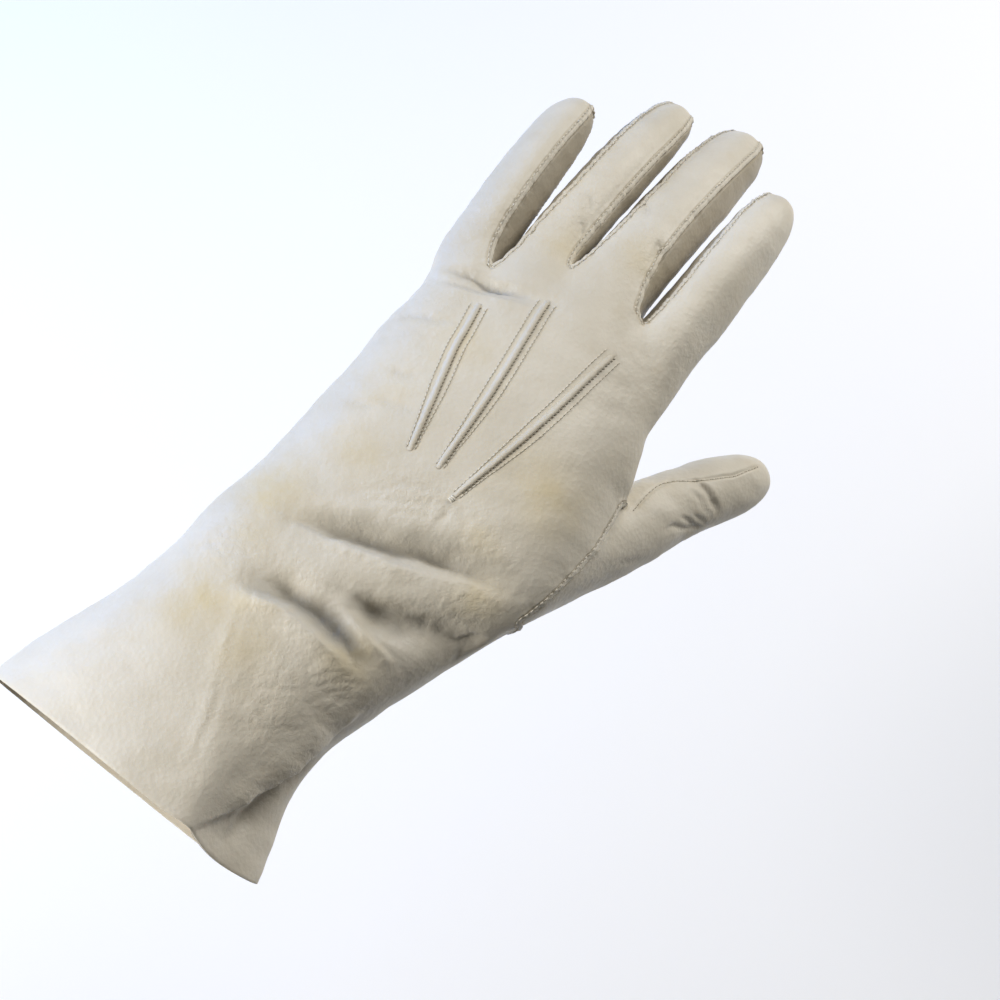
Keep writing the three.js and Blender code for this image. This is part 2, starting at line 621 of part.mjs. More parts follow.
const wasm = await Module();
wasm.setup();
const solidOf = ({ positions, triangles }) =>
  new wasm.Manifold(
    new wasm.Mesh({
      numProp: 3,
      vertProperties: new Float32Array(positions),
      triVerts: new Uint32Array(triangles),
    }),
  );
function partsOf(solid) {
  const mesh = solid.getMesh();
  return { positions: mesh.vertProperties, triangles: mesh.triVerts };
}

const glove = new THREE.Group();
glove.name = "kidskin_glove";
function addNode(name, { positions, triangles }, color, roughness) {
  const geometry = new THREE.BufferGeometry();
  geometry.setAttribute("position", new THREE.BufferAttribute(new Float32Array(positions), 3));
  geometry.setIndex(new THREE.BufferAttribute(new Uint32Array(triangles), 1));
  geometry.computeVertexNormals();
  const material = new THREE.MeshStandardMaterial({ color, roughness, metalness: 0 });
  const mesh = new THREE.Mesh(geometry, material);
  mesh.name = name;
  glove.add(mesh);
}

// The trank is cut back where a tight corner would bring it against the next panel, and the offcuts go
let trank = solidOf(panelSolid("trank"));
for (const { name } of CROTCHES) {
  trank = trank.subtract(solidOf(panelSolid(name, -SEAM_GAP * RELIEF, SEAM_GAP)));
}
for (const point of POINTS) trank = trank.add(solidOf(pointSolid(point)));
trank = trank.decompose().reduce((most, body) => (body.volume() > most.volume() ? body : most));
addNode("trank", partsOf(trank), 0xdbd5c5, 0.55);
addNode("thumb", panelSolid("thumb"), 0xd6d0c0, 0.55);
for (const crotch of CROTCHES) addNode(crotch.name, panelSolid(crotch.name), 0xcfc8b6, 0.6);

export default glove;
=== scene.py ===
"""Left-hand kidskin dress glove in its worn form: leather panels, raised points, seams and a plain studio."""
import math

import bpy
import numpy as np
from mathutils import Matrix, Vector, kdtree, noise
from mathutils.bvhtree import BVHTree


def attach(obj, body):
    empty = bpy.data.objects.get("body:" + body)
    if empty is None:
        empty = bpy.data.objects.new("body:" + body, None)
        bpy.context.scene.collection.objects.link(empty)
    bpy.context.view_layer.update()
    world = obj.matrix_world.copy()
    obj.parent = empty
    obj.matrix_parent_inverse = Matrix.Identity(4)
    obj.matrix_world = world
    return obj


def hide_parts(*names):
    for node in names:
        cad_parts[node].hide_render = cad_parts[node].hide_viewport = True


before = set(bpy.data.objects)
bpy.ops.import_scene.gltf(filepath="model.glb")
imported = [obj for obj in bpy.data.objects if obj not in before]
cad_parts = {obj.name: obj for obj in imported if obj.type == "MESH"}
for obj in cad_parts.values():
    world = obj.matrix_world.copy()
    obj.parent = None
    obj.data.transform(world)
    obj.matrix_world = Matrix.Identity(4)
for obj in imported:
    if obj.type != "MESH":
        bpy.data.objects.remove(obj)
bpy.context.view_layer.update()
random = np.random.default_rng(7)

# Sizes in millimetres, as in the CAD
MM = 0.001
HAND_LENGTH = 166
KNUCKLE_WIDTH = 87
HAND_DEPTH = 40
FINGER_LENGTH = 79
FINGER_WIDTH = 20
THUMB_LENGTH = 61
THUMB_WIDTH = 20
LEATHER = 1.0
HEM_SLANT = 10
FOLD_DEPTH = 2.2

# Stitches and gathers of the seams, in millimetres
SEAM_STITCH = 1.7
STITCH_INSET = 1.0
GATHER = 0.16
GATHER_REACH = 2.2
GATHER_WAVE = 3.2
GATHER_CHANGE = 0.8

# Wear and painted shade: how worn the leather is along a crease, how deep a wrinkle is fully worn, and how
# deep a crease is fully darkened by painted shade, in millimetres
CREASE_WEAR = 0.5
WORN_DEPTH = 0.25
PAINTED_SHADE_DEPTH = 3


def table(columns, *rows):
    """A list of rows, each a dict with the named columns."""
    names = columns.split()
    return [dict(zip(names, row)) for row in rows]


# Sections of the hand from the hem to the finger roots: their place, size and roundness as shares of the
# hand's sizes, their turns in degrees, and how much of the hem's slant and of the roots' stagger they have
SECTIONS = table(
    "along width rise drop turn roll side slant root",
    (0, 0.925, 0.523, 0.578, 0, -12, -0.011, 1, 0),
    (0.084, 0.875, 0.551, 0.575, 0, -8, -0.028, 0.7, 0),
    (0.181, 0.784, 0.551, 0.575, 0, -5, -0.026, 0.4, 0),
    (0.277, 0.773, 0.55, 0.55, 0, -3, -0.041, 0.2, 0),
    (0.325, 0.81, 0.54, 0.537, 1.8, -2, -0.044, 0, 0),
    (0.373, 0.825, 0.521, 0.52, 4.6, -1, -0.046, 0, 0),
    (0.422, 0.85, 0.504, 0.501, 7.3, 0, -0.033, 0, 0),
    (0.47, 0.877, 0.488, 0.501, 10.6, 0, -0.018, 0, 0),
    (0.518, 0.891, 0.475, 0.502, 13.6, 0, 0.005, 0, 0),
    (0.59, 0.999, 0.452, 0.5, 16, 0, 0.058, 0, 0),
    (0.681, 1.024, 0.45, 0.475, 17, 0, 0.083, 0, 0),
    (0.771, 0.993, 0.425, 0.425, 17, 0, 0.085, 0, 0.1),
    (0.855, 0.922, 0.4, 0.375, 17, 0, 0.047, 0, 0.3),
    (0.94, 0.848, 0.324, 0.325, 17, 0, 0.043, 0, 0.6),
    (1, 0.922, 0.235, 0.265, 17, 0, 0.024, 0, 1),
)
CORNER = 0.94
ROUNDNESS = 2.4

# Points of the sections that lie off their round form, as shares of the knuckles' width
OFFSETS = table(
    "section line out up ahead",
    (0, 8, -0.064, 0.055, 0),
    (0, 9, -0.03, 0.04, -0.035),
    (0, 10, 0.125, -0.062, 0.06),
    (1, 8, -0.076, 0.01, 0),
    (1, 9, -0.064, 0.011, 0),
    (1, 10, 0.111, -0.014, 0),
    (2, 8, -0.03, 0.009, 0),
    (2, 9, -0.007, 0.002, 0),
    (3, 8, -0.034, 0.008, 0),
    (3, 9, -0.013, 0.002, 0),
    (8, 8, 0.075, -0.013, 0),
    (9, 8, 0.022, -0.005, 0),
    (10, 8, 0.008, -0.048, 0.012),
    (11, 8, -0.004, -0.092, 0.026),
    (11, 9, -0.045, -0.08, 0.027),
    (11, 10, -0.045, -0.031, 0.027),
    (12, 9, 0.018, 0, 0),
)

# Fingers from the little one on: sizes and places as shares of a finger's sizes, turns in degrees, and the
# angles at which the seams run on the back and the palm, on the thumb's side and on the outer side
FINGERS = table(
    "width depth length root splay pitch curl roll side thumb_back thumb_palm outer_back outer_palm",
    (0.85, 0.83, 0.785, 0.022, 2.6, -3.3, 19, -2, -0.02, 63, 35, 32, 30),
    (0.86, 0.87, 1, 0.127, -1.2, 2.8, 26, 6, -0.02, 42, 35, 38, 30),
    (1.09, 0.96, 1, 0.215, -1.1, 12.4, 14.6, -5.4, 0.04, 55, 35, 45, 30),
    (0.97, 1, 0.945, -0.066, -2.8, 6, 0, -7, 0, 57, 35, 66, 30),
)

# The strips between the fingers, with how deep each crotch lies on the back; then how much less on the
# palm and ahead in the middle, the crown and the edge of a root, and where a finger starts on its crown
CROTCHES = table(
    "name back",
    ("fourchette_ring_little", 0.144),
    ("fourchette_middle_ring", 0.063),
    ("fourchette_index_middle", -0.063),
)
CROTCH_PALM = 0.063
CROTCH_MIDDLE = 0.025
ROOT_CROWN = 0.063
ROOT_EDGE = -0.025
FINGER_START = 0.3
FINGER_ROWS = table(
    "along width depth seam",
    (0.13, 1, 1, 1),
    (0.32, 0.99, 0.97, 1),
    (0.52, 0.98, 0.95, 1),
    (0.72, 0.92, 0.88, 0.9),
    (0.88, 0.8, 0.76, 0.7),
    (0.98, 0.52, 0.5, 0.5),
)
FINGERTIP = 0.025
FINGER_FULLNESS = 1.108

# The thumb, the sections and lines between which its hole lies, and its rows
THUMB = {"side": 0.329, "along": 0.8235, "up": -0.363, "turn": -1, "bend": -17, "pitch": 24, "start": 138}
HOLE = {"first_section": 8, "last_section": 11, "first_line": 8, "last_line": 11}
THUMB_ROWS = table(
    "along width depth tilt",
    (0.12, 1.158, 1.12, 0.56),
    (0.3, 1.02, 1.025, 0),
    (0.45, 0.985, 0.975, 0),
    (0.65, 0.955, 0.975, 0),
    (0.85, 0.85, 0.82, 0),
    (0.97, 0.55, 0.51, 0),
)
THUMB_TIP = 0.015
THUMB_FULLNESS = 1.047
THUMB_CAP = 0.75

# Broad folds of the back: ends as shares of the hand's width and length
FOLDS = table(
    "from_side from_along to_side to_along reach height",
    (-0.19, 0.435, 0.23, 0.585, 0.055, -1),
    (-0.16, 0.485, 0.1, 0.56, 0.06, 0.35),
    (-0.15, 0.318, 0.27, 0.376, 0.05, 0.8),
    (-0.11, 0.358, 0.2, 0.39, 0.045, -0.7),
    (0.07, 0.43, 0.33, 0.51, 0.05, -0.9),
    (0.3, 0.49, 0.4, 0.55, 0.05, -0.7),
    (-0.6, 0.86, -0.29, 0.975, 0.035, -0.6),
    (-0.08, 0.3, 0.27, 0.1, 0.05, 0.3),
)

# Creases and ridges of the back, in millimetres: x and y of their points seen from above, the reach to
# the left and right of the line as it is drawn, and the height; a crease has a height below nought, and
# the deep ones get painted shade along their bottom
BACK_CREASES = table(
    "left right height points",
    (4.4, 1.8, -3.4, [(-18, 72.4), (-11, 77), (-2.7, 82.8), (5.5, 88.4), (14, 94.2), (22, 99), (30, 103.4)]),
    (1.2, 3.2, 1.4, [(-17, 71.2), (-8.3, 75.8), (-1.6, 79.2), (6.4, 83.8), (13.8, 88.8), (20.9, 93.2)]),
    (3.8, 1.8, -3.0, [
        (-13.5, 52), (-6.8, 56.6), (-0.2, 59.9), (6.2, 61.3), (12.2, 62), (17.4, 62.2), (23, 62.4),
    ]),
    (1.3, 3.6, 1.3, [
        (-10.5, 49.4), (-5.2, 52.8), (0.8, 55.9), (6.6, 57.1), (12.2, 58), (17.2, 58.1), (22, 58.3),
    ]),
    (1.8, 4.4, -2.3, [(5.2, 70.2), (10, 73), (15.2, 76.4), (20.6, 80.6), (25.9, 84.8), (30.5, 89)]),
    (3.0, 3.2, -2.2, [(7.5, 70.6), (13.5, 72.4), (20, 75), (27, 78.6)]),
    (1.0, 2.4, 1.4, [(7, 68), (13, 67.6), (19, 67.8), (26, 69.2)]),
    (1.8, 1.2, -1.8, [(-54.6, 146.6), (-46.2, 150.4), (-37.7, 153.8), (-30, 157.9)]),
    (0.9, 2.4, 1.2, [(-52, 141.8), (-45.6, 145), (-40, 148.3), (-33.3, 152), (-28, 155.5)]),
    (0.8, 1.6, -0.65, [(-50.3, 128.1), (-43.3, 133), (-35.4, 138.6)]),
    (0.8, 1.6, -0.55, [(-38.4, 116.1), (-33.8, 117.5), (-28.3, 119.9)]),
    (0.8, 1.6, -0.5, [(-32.7, 108.6), (-26.8, 110.6), (-20.3, 113.6)]),
    (0.8, 1.4, -0.4, [(-37.4, 102.2), (-29.6, 106.2)]),
    (1.4, 0.7, -0.3, [(-12, 92), (-8.5, 98), (-3, 103), (2.5, 106)]),
    (1.2, 0.7, -0.3, [(-9.4, 90), (-5, 95.5), (0.2, 101), (3.6, 104.4)]),
    (0.6, 1, -0.35, [(4.4, 105.4), (7.5, 105.2), (11.7, 104.3)]),
    (1, 0.6, -0.35, [(3.9, 103.6), (5.1, 100.1), (5.3, 97)]),
    (0.9, 0.7, -0.14, [(-6, 48), (0.5, 40.5), (8.5, 31.2), (17, 17.6)]),
    (0.8, 1.8, 0.2, [(-7, 47), (-0.5, 39.3), (7.4, 30), (16, 16.4)]),
    (0.8, 1.3, -0.75, [(-48.3, 192.6), (-44.6, 191.9), (-42, 189)]),
    (0.8, 1.3, -0.7, [(-43.3, 184.7), (-39.8, 185.1), (-37.6, 182.5)]),
    (0.8, 1.3, -0.75, [(-24.5, 197.4), (-20.9, 196.8), (-19, 192.9)]),
    (0.8, 1.3, -0.6, [(-40, 206.5), (-34, 203.8), (-30.5, 200.2)]),
)

# The same for the sides of the cuff and the thumb, with x, y and z
SIDE_CREASES = table(
    "left right height points",
    (1.2, 9, 3.1, [(27.8, 56, 8), (28.1, 47, 6), (28.1, 36, 7), (28.1, 22, 10.2), (27.6, 8, 19)]),
    (2.4, 2.0, -1.8, [(29.7, 44, -2), (30.3, 35, 1.9), (30.4, 26, 4.7), (31.6, 16.4, 7.2), (32.8, 7, 10)]),
    (1.5, 1.2, -1.1, [(24, 82.4, 11.3), (27.8, 83.4, 8.5), (30.5, 85.9, 6.4), (33.5, 93, 6.1)]),
    (1.1, 1.1, -0.6, [(32.1, 81, 1), (32.1, 86.1, 4.7), (33.5, 92, 5.6)]),
    (0.7, 1.4, -0.9, [(28.8, 166.9, -17.4), (33.4, 168.4, -18.2), (37, 168.1, -19.8), (40.5, 168.2, -24)]),
    (0.6, 1.0, -0.4, [(31, 163.7, -15.9), (35, 165.4, -17), (38.2, 165.4, -19), (41, 165.8, -23.8)]),
    (0.6, 0.9, -0.45, [(36, 159.9, -15.9), (38.5, 161.6, -19.4), (40.8, 164, -24.8)]),
    (0.7, 1.2, -0.7, [(35.7, 156.8, -14.3), (38.2, 158.7, -17.9), (40.6, 161.3, -24.6)]),
    (0.6, 0.9, -0.45, [(36.6, 153.7, -13.4), (38.1, 156, -16.5), (40.2, 159.9, -22.9)]),
    (0.7, 1.2, -0.6, [(36.7, 150.2, -12), (37, 152.7, -13.6), (39.6, 157.9, -20.3)]),
    (0.7, 1.2, -0.5, [(33, 131.3, -3), (37.3, 135.2, -6.9), (39.5, 140, -13)]),
)

# The seam down the thumb, with its groove and its raised edges
THUMB_SEAM = [
    (28.4, 145.9, -6.4), (26.2, 154.7, -11.3), (26.5, 161, -15.2), (31.1, 169.3, -18.4), (34.7, 178.9, -23.4),
    (36, 188.9, -30.5),
]
THUMB_SEAM_FORM = table(
    "height left right",
    (-0.6, 0.6, 0.6),
    (0.25, 1.8, 1.2),
)

# Patches of fine wrinkles on the back: their middle, their lie in degrees and size in millimetres, then
# the lie of the wrinkles, their spacing, how long each is for its width, and their depth
WRINKLES = table(
    "x y turn length width lie wave stretch depth",
    (1, 79, 35, 20, 3.2, 95, 1.5, 1.5, 0.11),
    (3, 58, 25, 18, 3.2, 100, 1.5, 1.5, 0.11),
    (17, 40, -50, 16, 8, 55, 2.6, 3, 0.17),
    (22, 55, 10, 8, 8, 60, 2.2, 2.4, 0.22),
    (-2, 99, 40, 13, 7, 42, 2.0, 3, 0.28),
    (25, 93, 60, 9, 6, 120, 2.0, 1.8, 0.22),
    (14, 104, 20, 12, 8, 110, 2.2, 1.6, 0.14),
    (-22, 55, 20, 11, 6, 25, 2.6, 3, 0.14),
    (-4, 66, 30, 16, 6, 35, 2.6, 3, 0.1),
    (-44, 135, 30, 14, 12, 32, 3.0, 3, 0.14),
    (-44, 187, 110, 14, 7, 25, 3.0, 2.5, 0.22),
    (-23, 193, 105, 14, 7, 20, 3.0, 2.5, 0.22),
    (-58, 165, 115, 14, 6, 30, 3.0, 2.5, 0.18),
    (6, 186, 95, 14, 7, 10, 3.2, 2.5, 0.14),
)

# Soft unevenness of the leather and how its creases waver, in millimetres, and how their strength changes
SOFTNESS = table(
    "wave height",
    (19, 0.16),
    (7, 0.07),
    (3, 0.02),
)
WAVER = table(
    "wave shift",
    (9, 0.3),
    (3.5, 0.12),
)
STRENGTH_WAVE = 9
STRENGTH_CHANGE = 0.06

# How faint a crease is at its ends, and how a broad fold rises from its ends, as shares
CREASE_END = 0.1
FOLD_END = 0.35
FOLD_RISE = 3

# The furrows of fine wrinkles: the random field's wave as a share of their spacing, and their width and
# depth in that field
FURROW_WAVE = 1.5
FURROW_WIDTH = 0.45
FURROW_DEPTH = 1.2

# Yellowed places, in millimetres: their middle, reach and strength
STAINS = table(
    "x y reach strength",
    (-14.6, 42, 9, 0.8),
    (-28.3, 72.3, 9, 0.8),
    (-8, 49.5, 7, 0.5),
    (0, 43.7, 7, 0.6),
    (-21, 64, 6, 0.45),
    (26, 95.7, 6, 0.6),
    (17.6, 125, 8, 0.7),
    (12, 126, 9, 0.4),
    (15, 104.7, 5, 0.4),
    (18.4, 62, 6, 0.7),
    (-22, 96, 7, 0.5),
    (-34, 112, 8, 0.4),
    (-30, 135, 8, 0.4),
    (-37, 176, 6, 0.5),
    (-22, 190, 6, 0.4),
)

# The raised points on the back, seen from above, in millimetres
POINTS = [
    [(-37.0, 146.6), (-32.6, 138.4), (-29.7, 132.3), (-21.8, 119.0), (-13.8, 105.2)],
    [(-26.4, 161.4), (-14.7, 134.2), (-5.6, 107.7)],
    [(-3.8, 165.5), (0.8, 135.3), (2.6, 106.2)],
]

# Their section across, the step along them, the length over which they rise at an end, their height and
# width there as shares, and how much and over what length they wobble
CORD_PROFILE = [
    (-0.6, -0.4), (-0.66, 0.22), (-0.54, 0.52), (-0.26, 0.7), (0.1, 0.74), (0.48, 0.6), (0.82, 0.3),
    (1.2, 0.02), (1.7, -0.2),
]
CORD_STEP = 0.5
CORD_TAPER = 4
CORD_END_HEIGHT = 0.2
CORD_END_WIDTH = 0.6
CORD_WOBBLE = 0.12
CORD_WOBBLE_LENGTH = 1.6

# How the panels meet at a seam, in millimetres: the trank spreads over the line and stands up, the others
# are tucked under it; then how a cut edge turns over to the flesh side, as shares of the leather
TRANK_EDGE = {"spread": 0.35, "lift": 0.5, "fall": 1.35}
TUCKED_EDGE = {"spread": 0.5, "lift": -0.5, "fall": 1.2}
EDGE = table(
    "inward depth",
    (0.12, 0.1),
    (0.16, 0.32),
    (0.06, 0.62),
    (-0.1, 0.95),
)
FLESH_DEPTH = 0.95

# What is cut finely, in millimetres: all near a seam, the back between two places along the hand, and the
# thumb's side of the cuff; facing is how far the leather there looks up
FINE_SEAM = 3.5
FINE_BACK = {"start": 40, "end": 172, "facing": 0.25}
FINE_CUFF = {"end": 62, "side": 5, "facing": -0.3}

# Stitches, and dark dots of painted shadow for the needle holes: length, thickness and spacing in
# millimetres, how they slant, and their start as a share of the spacing
STITCHES = table(
    "name look length thick spacing slant start",
    ("point_stitches", "cream_thread", 0.75, 0.34, 1.3, 0, 0),
    # dark dots of painted shadow for the needle holes
    ("point_holes", "hole_leather", 0.5, 0.25, 1.3, 0, 0.5),
    # foot stitches in a darker thread: painted shade along the shaded foot of each raised point
    ("foot_stitches", "shaded_thread", 0.75, 0.3, 1.15, 0.5, 0),
    ("end_knot", "cream_thread", 1.7, 0.5, 0.45, 12, 0),
    ("seam_stitches", "cream_thread", 0.95, 0.34, SEAM_STITCH, 0, 0),
    # dark dots of painted shadow for the needle holes
    ("seam_holes", "hole_leather", 0.5, 0.24, SEAM_STITCH, 0, 0.5),
)

# How much the stitches differ in turn and length; then the form of one, as shares of its length and
# thickness, how far it is sunk in, and its sides
STITCH_TURN_CHANGE = 0.05
STITCH_LENGTH_CHANGE = 0.06
STITCH_SINK = 0.1
STITCH_SIDES = 6
STITCH_FORM = table(
    "along bow full",
    (-0.5, 0.0, 0.45),
    (-0.42, 0.25, 0.8),
    (-0.2, 0.45, 1.0),
    (0.2, 0.45, 1.0),
    (0.42, 0.25, 0.8),
    (0.5, 0.0, 0.45),
)

# Rows of stitches beside a raised point, in millimetres: their gap from its middle line and at its end,
# the gap of those at its foot, and the steps along the line; then where the knot lies behind its end
POINT_GAP = 2.4
POINT_END_GAP = 1.1
FOOT_GAP = 0.8
ROW_STEP = 0.8
FOOT_STEP = 0.6
KNOT = {"behind": 0.9, "step": 0.5, "steps": 4}

# The camera as fitted to the photo, in millimetres and degrees
CAMERA = {"target": (4.985, 119.284, -2.576), "azimuth": 51, "elevation": 71.14, "away": 406.8}
LENS = 55.87
SENSOR = 36

# Soft lights of the studio, in metres and watts, round the lit middle, and the floor in millimetres
LIT_MIDDLE = (-10, 120, 0)
WORLD_COLOUR = (1.0, 0.985, 0.96, 1)
WORLD_STRENGTH = 0.06
LIGHTS = table(
    "name direction distance size power colour",
    ("key", (-0.46, -0.74, 0.5), 0.9, 0.5, 9.2, (1.0, 0.985, 0.965)),
    ("far_side", (0.0, 0.88, 0.48), 0.9, 0.6, 6.8, (1.0, 0.985, 0.965)),
    ("sky", (-0.9, -0.15, 0.15), 0.8, 0.5, 3.4, (0.03, 0.32, 1.0)),
)
FLOOR = {"half": 1500, "height": -300}


def unit(v):
    return v / np.linalg.norm(v)


def axes_of(turn, pitch, roll):
    """Directions across, ahead and up of something turned by three angles in degrees."""
    t, p, r = math.radians(turn), math.radians(pitch), math.radians(roll)
    forward = np.array([-math.sin(t) * math.cos(p), math.cos(t) * math.cos(p), -math.sin(p)])
    level = np.array([math.cos(t), math.sin(t), 0.0])
    upright = np.cross(level, forward)
    across = level * math.cos(r) - upright * math.sin(r)
    return across, forward, np.cross(across, forward)


def curved_axis(start, length, turn, bend, pitch, curl, steps=60):
    """A function that gives the place and angles at a share of a bent axis."""
    stations = []
    place = start.copy()
    for step in range(steps + 1):
        share = step / steps
        angles = (turn + bend * share, pitch + curl * share)
        stations.append((place.copy(), angles))
        place = place + axes_of(*angles, 0)[1] * length / steps

    def at(share):
        step = min(steps - 1, int(share * steps))
        between = share * steps - step
        here = stations[step][0] * (1 - between) + stations[step + 1][0] * between
        return here, stations[step][1][0], stations[step][1][1]

    return at


def finger_lines():
    """Shares across the hand of its lines: its sides, and the middles and crotches of the fingers."""
    total = sum(finger["width"] for finger in FINGERS)
    lines, passed = [-1.0], 0.0
    for finger in FINGERS:
        lines.append(-1 + (2 * passed + finger["width"]) / total)
        passed += finger["width"]
        lines.append(-1 + 2 * passed / total)
    return lines


LINES = finger_lines()
BACK_LINES = len(LINES)
RING_SIZE = 2 * BACK_LINES + 2
THUMB_SIDE, OUTER_SIDE = BACK_LINES, RING_SIZE - 1


def palm_line(line):
    """The place in a ring that lies on the palm under a line of the back, and the other way round."""
    return 2 * BACK_LINES - line


def stagger(line, on_palm):
    """How far ahead of the finger roots a line ends, as a share of the finger length."""
    if line == 0:
        return FINGERS[0]["root"] + ROOT_EDGE
    if line == BACK_LINES - 1:
        return FINGERS[-1]["root"] + ROOT_EDGE
    finger = (line - 1) >> 1
    if line % 2:
        return FINGERS[finger]["root"] + ROOT_CROWN + (CROTCH_PALM / 2 if on_palm else 0)
    between = (FINGERS[finger]["root"] + FINGERS[finger + 1]["root"]) / 2
    return between - CROTCHES[finger]["back"] + (CROTCH_PALM if on_palm else 0)


class Cage:
    """The coarse four-sided cage of the glove, with a panel name for every face."""

    def __init__(self):
        self.points, self.quads, self.panels = [], [], []

    def add(self, point):
        self.points.append(np.array(point, dtype=float))
        return len(self.points) - 1

    def face(self, panel, *corners):
        self.quads.append(corners)
        self.panels.append(panel)

    def arrays(self):
        return np.array(self.points), np.array(self.quads), np.array(self.panels)


def hand_ring(number, centre, axes):
    """The places round one section of the hand: over the back, the thumb's side, the palm and back."""
    section = SECTIONS[number]
    across, forward, up = axes
    ring = []
    for place in range(RING_SIZE):
        on_back = place < BACK_LINES
        on_side = place in (THUMB_SIDE, OUTER_SIDE)
        line = place if on_back else palm_line(place)
        share = (1 if place == THUMB_SIDE else -1) if on_side else LINES[line] * CORNER
        height = (1 - abs(share) ** ROUNDNESS) ** (1 / ROUNDNESS)
        reach = section["rise"] if on_back else -section["drop"]
        edge = BACK_LINES - 1 if place == THUMB_SIDE else 0
        ahead = stagger(edge, False) if on_side else stagger(line, not on_back)
        ring.append(
            centre
            + across * share * section["width"] * KNUCKLE_WIDTH / 2
            + up * height * reach * HAND_DEPTH
            + forward * section["slant"] * HEM_SLANT * share
            + forward * section["root"] * ahead * FINGER_LENGTH
        )
    for offset in OFFSETS:
        if offset["section"] == number:
            shift = across * offset["out"] + up * offset["up"] + forward * offset["ahead"]
            ring[offset["line"]] = ring[offset["line"]] + shift * KNUCKLE_WIDTH
    return ring


def add_hand(cage):
    """Adds the hand from the hem to the finger roots; gives its rings, and the last one's middle and axes."""
    origin = np.zeros(3)
    rings, centre, axes = [], None, None
    for number, section in enumerate(SECTIONS):
        axes = axes_of(section["turn"], 0, section["roll"])
        if number:
            before = SECTIONS[number - 1]
            step = axes_of((section["turn"] + before["turn"]) / 2, 0, 0)[1]
            origin = origin + step * (section["along"] - before["along"]) * HAND_LENGTH
        centre = origin + axes[0] * section["side"] * KNUCKLE_WIDTH
        rings.append([cage.add(place) for place in hand_ring(number, centre, axes)])
    for section in range(len(rings) - 1):
        beside_hole = HOLE["first_section"] <= section < HOLE["last_section"]
        here, ahead = rings[section], rings[section + 1]
        for place in range(RING_SIZE):
            if beside_hole and HOLE["first_line"] <= place < HOLE["last_line"]:
                continue
            after = (place + 1) % RING_SIZE
            cage.face("trank", here[place], here[after], ahead[after], ahead[place])
    return rings, centre, axes


def finger_ring(finger, row, axis):
    """The eight places round a finger: the back's outer edge, over the back, and on round the palm."""
    place, turned, pitched = axis(row["along"])
    side, _, upward = axes_of(turned, pitched, finger["roll"])
    half_width = finger["width"] * row["width"] * FINGER_WIDTH * FINGER_FULLNESS / 2
    half_depth = finger["depth"] * row["depth"] * FINGER_WIDTH * FINGER_FULLNESS / 2
    angles = [
        180 - finger["outer_back"] * row["seam"], 90, finger["thumb_back"] * row["seam"], 0,
        -finger["thumb_palm"] * row["seam"], -90, 180 + finger["outer_palm"] * row["seam"], 180,
    ]
    return [
        place + side * half_width * math.cos(a) + upward * half_depth * math.sin(a)
        for a in map(math.radians, angles)
    ]


def finger_panel(number, face):
    """The panel of a finger's face: the trank, or the strip towards the next finger on either side."""
    if face in (2, 3) and number < len(CROTCHES):
        return CROTCHES[number]["name"]
    if face in (6, 7) and number > 0:
        return CROTCHES[number - 1]["name"]
    return "trank"


def add_finger(cage, number, root, start):
    """Adds one bent finger on its eight root points."""
    finger = FINGERS[number]
    turn = SECTIONS[-1]["turn"] + finger["splay"]
    axis = curved_axis(start, finger["length"] * FINGER_LENGTH, turn, 0, finger["pitch"], finger["curl"])
    ring = root
    for row in FINGER_ROWS:
        ahead = [cage.add(place) for place in finger_ring(finger, row, axis)]
        for k in range(8):
            k2 = (k + 1) % 8
            cage.face(finger_panel(number, k), ring[k], ring[k2], ahead[k2], ahead[k])
        ring = ahead
    place, turned, pitched = axis(1)
    tip = cage.add(place + axes_of(turned, pitched, 0)[1] * FINGERTIP * FINGER_LENGTH)
    cage.face("trank", ring[0], ring[1], tip, ring[7])
    cage.face("trank", ring[1], ring[2], ring[3], tip)
    cage.face("trank", ring[7], tip, ring[5], ring[6])
    cage.face("trank", tip, ring[3], ring[4], ring[5])


def add_fingers(cage, last, centre, axes):
    """Adds the four fingers on the hand's last ring, with a middle point in each crotch."""
    across, forward, _ = axes
    middles = []
    for number in range(len(CROTCHES)):
        line = 2 * (number + 1)
        middle = (cage.points[last[line]] + cage.points[last[palm_line(line)]]) / 2
        middles.append(cage.add(middle + forward * CROTCH_MIDDLE * FINGER_LENGTH))
    root_width = SECTIONS[-1]["width"] * KNUCKLE_WIDTH
    for number, finger in enumerate(FINGERS):
        back = 2 * number
        root = [
            last[back], last[back + 1], last[back + 2],
            middles[number] if number < len(CROTCHES) else last[THUMB_SIDE],
            last[palm_line(back + 2)], last[palm_line(back + 1)], last[palm_line(back)],
            middles[number - 1] if number > 0 else last[OUTER_SIDE],
        ]
        middle_line = (LINES[back] + LINES[back + 2]) / 2 * CORNER
        start = centre + across * (middle_line * root_width / 2 + finger["side"] * FINGER_WIDTH)
        start = start + forward * (finger["root"] + ROOT_CROWN * FINGER_START) * FINGER_LENGTH
        add_finger(cage, number, root, start)


def thumb_hole_rim(rings):
    """The points round the thumb hole, in the order of the thumb's rings."""
    first_section, last_section = HOLE["first_section"], HOLE["last_section"]
    first_line, last_line = HOLE["first_line"], HOLE["last_line"]
    rim = [rings[last_section][p] for p in range(first_line, last_line + 1)]
    rim += [rings[s][last_line] for s in range(last_section - 1, first_section - 1, -1)]
    rim += [rings[first_section][p] for p in range(last_line - 1, first_line - 1, -1)]
    rim += [rings[s][first_line] for s in range(first_section + 1, last_section)]
    return rim


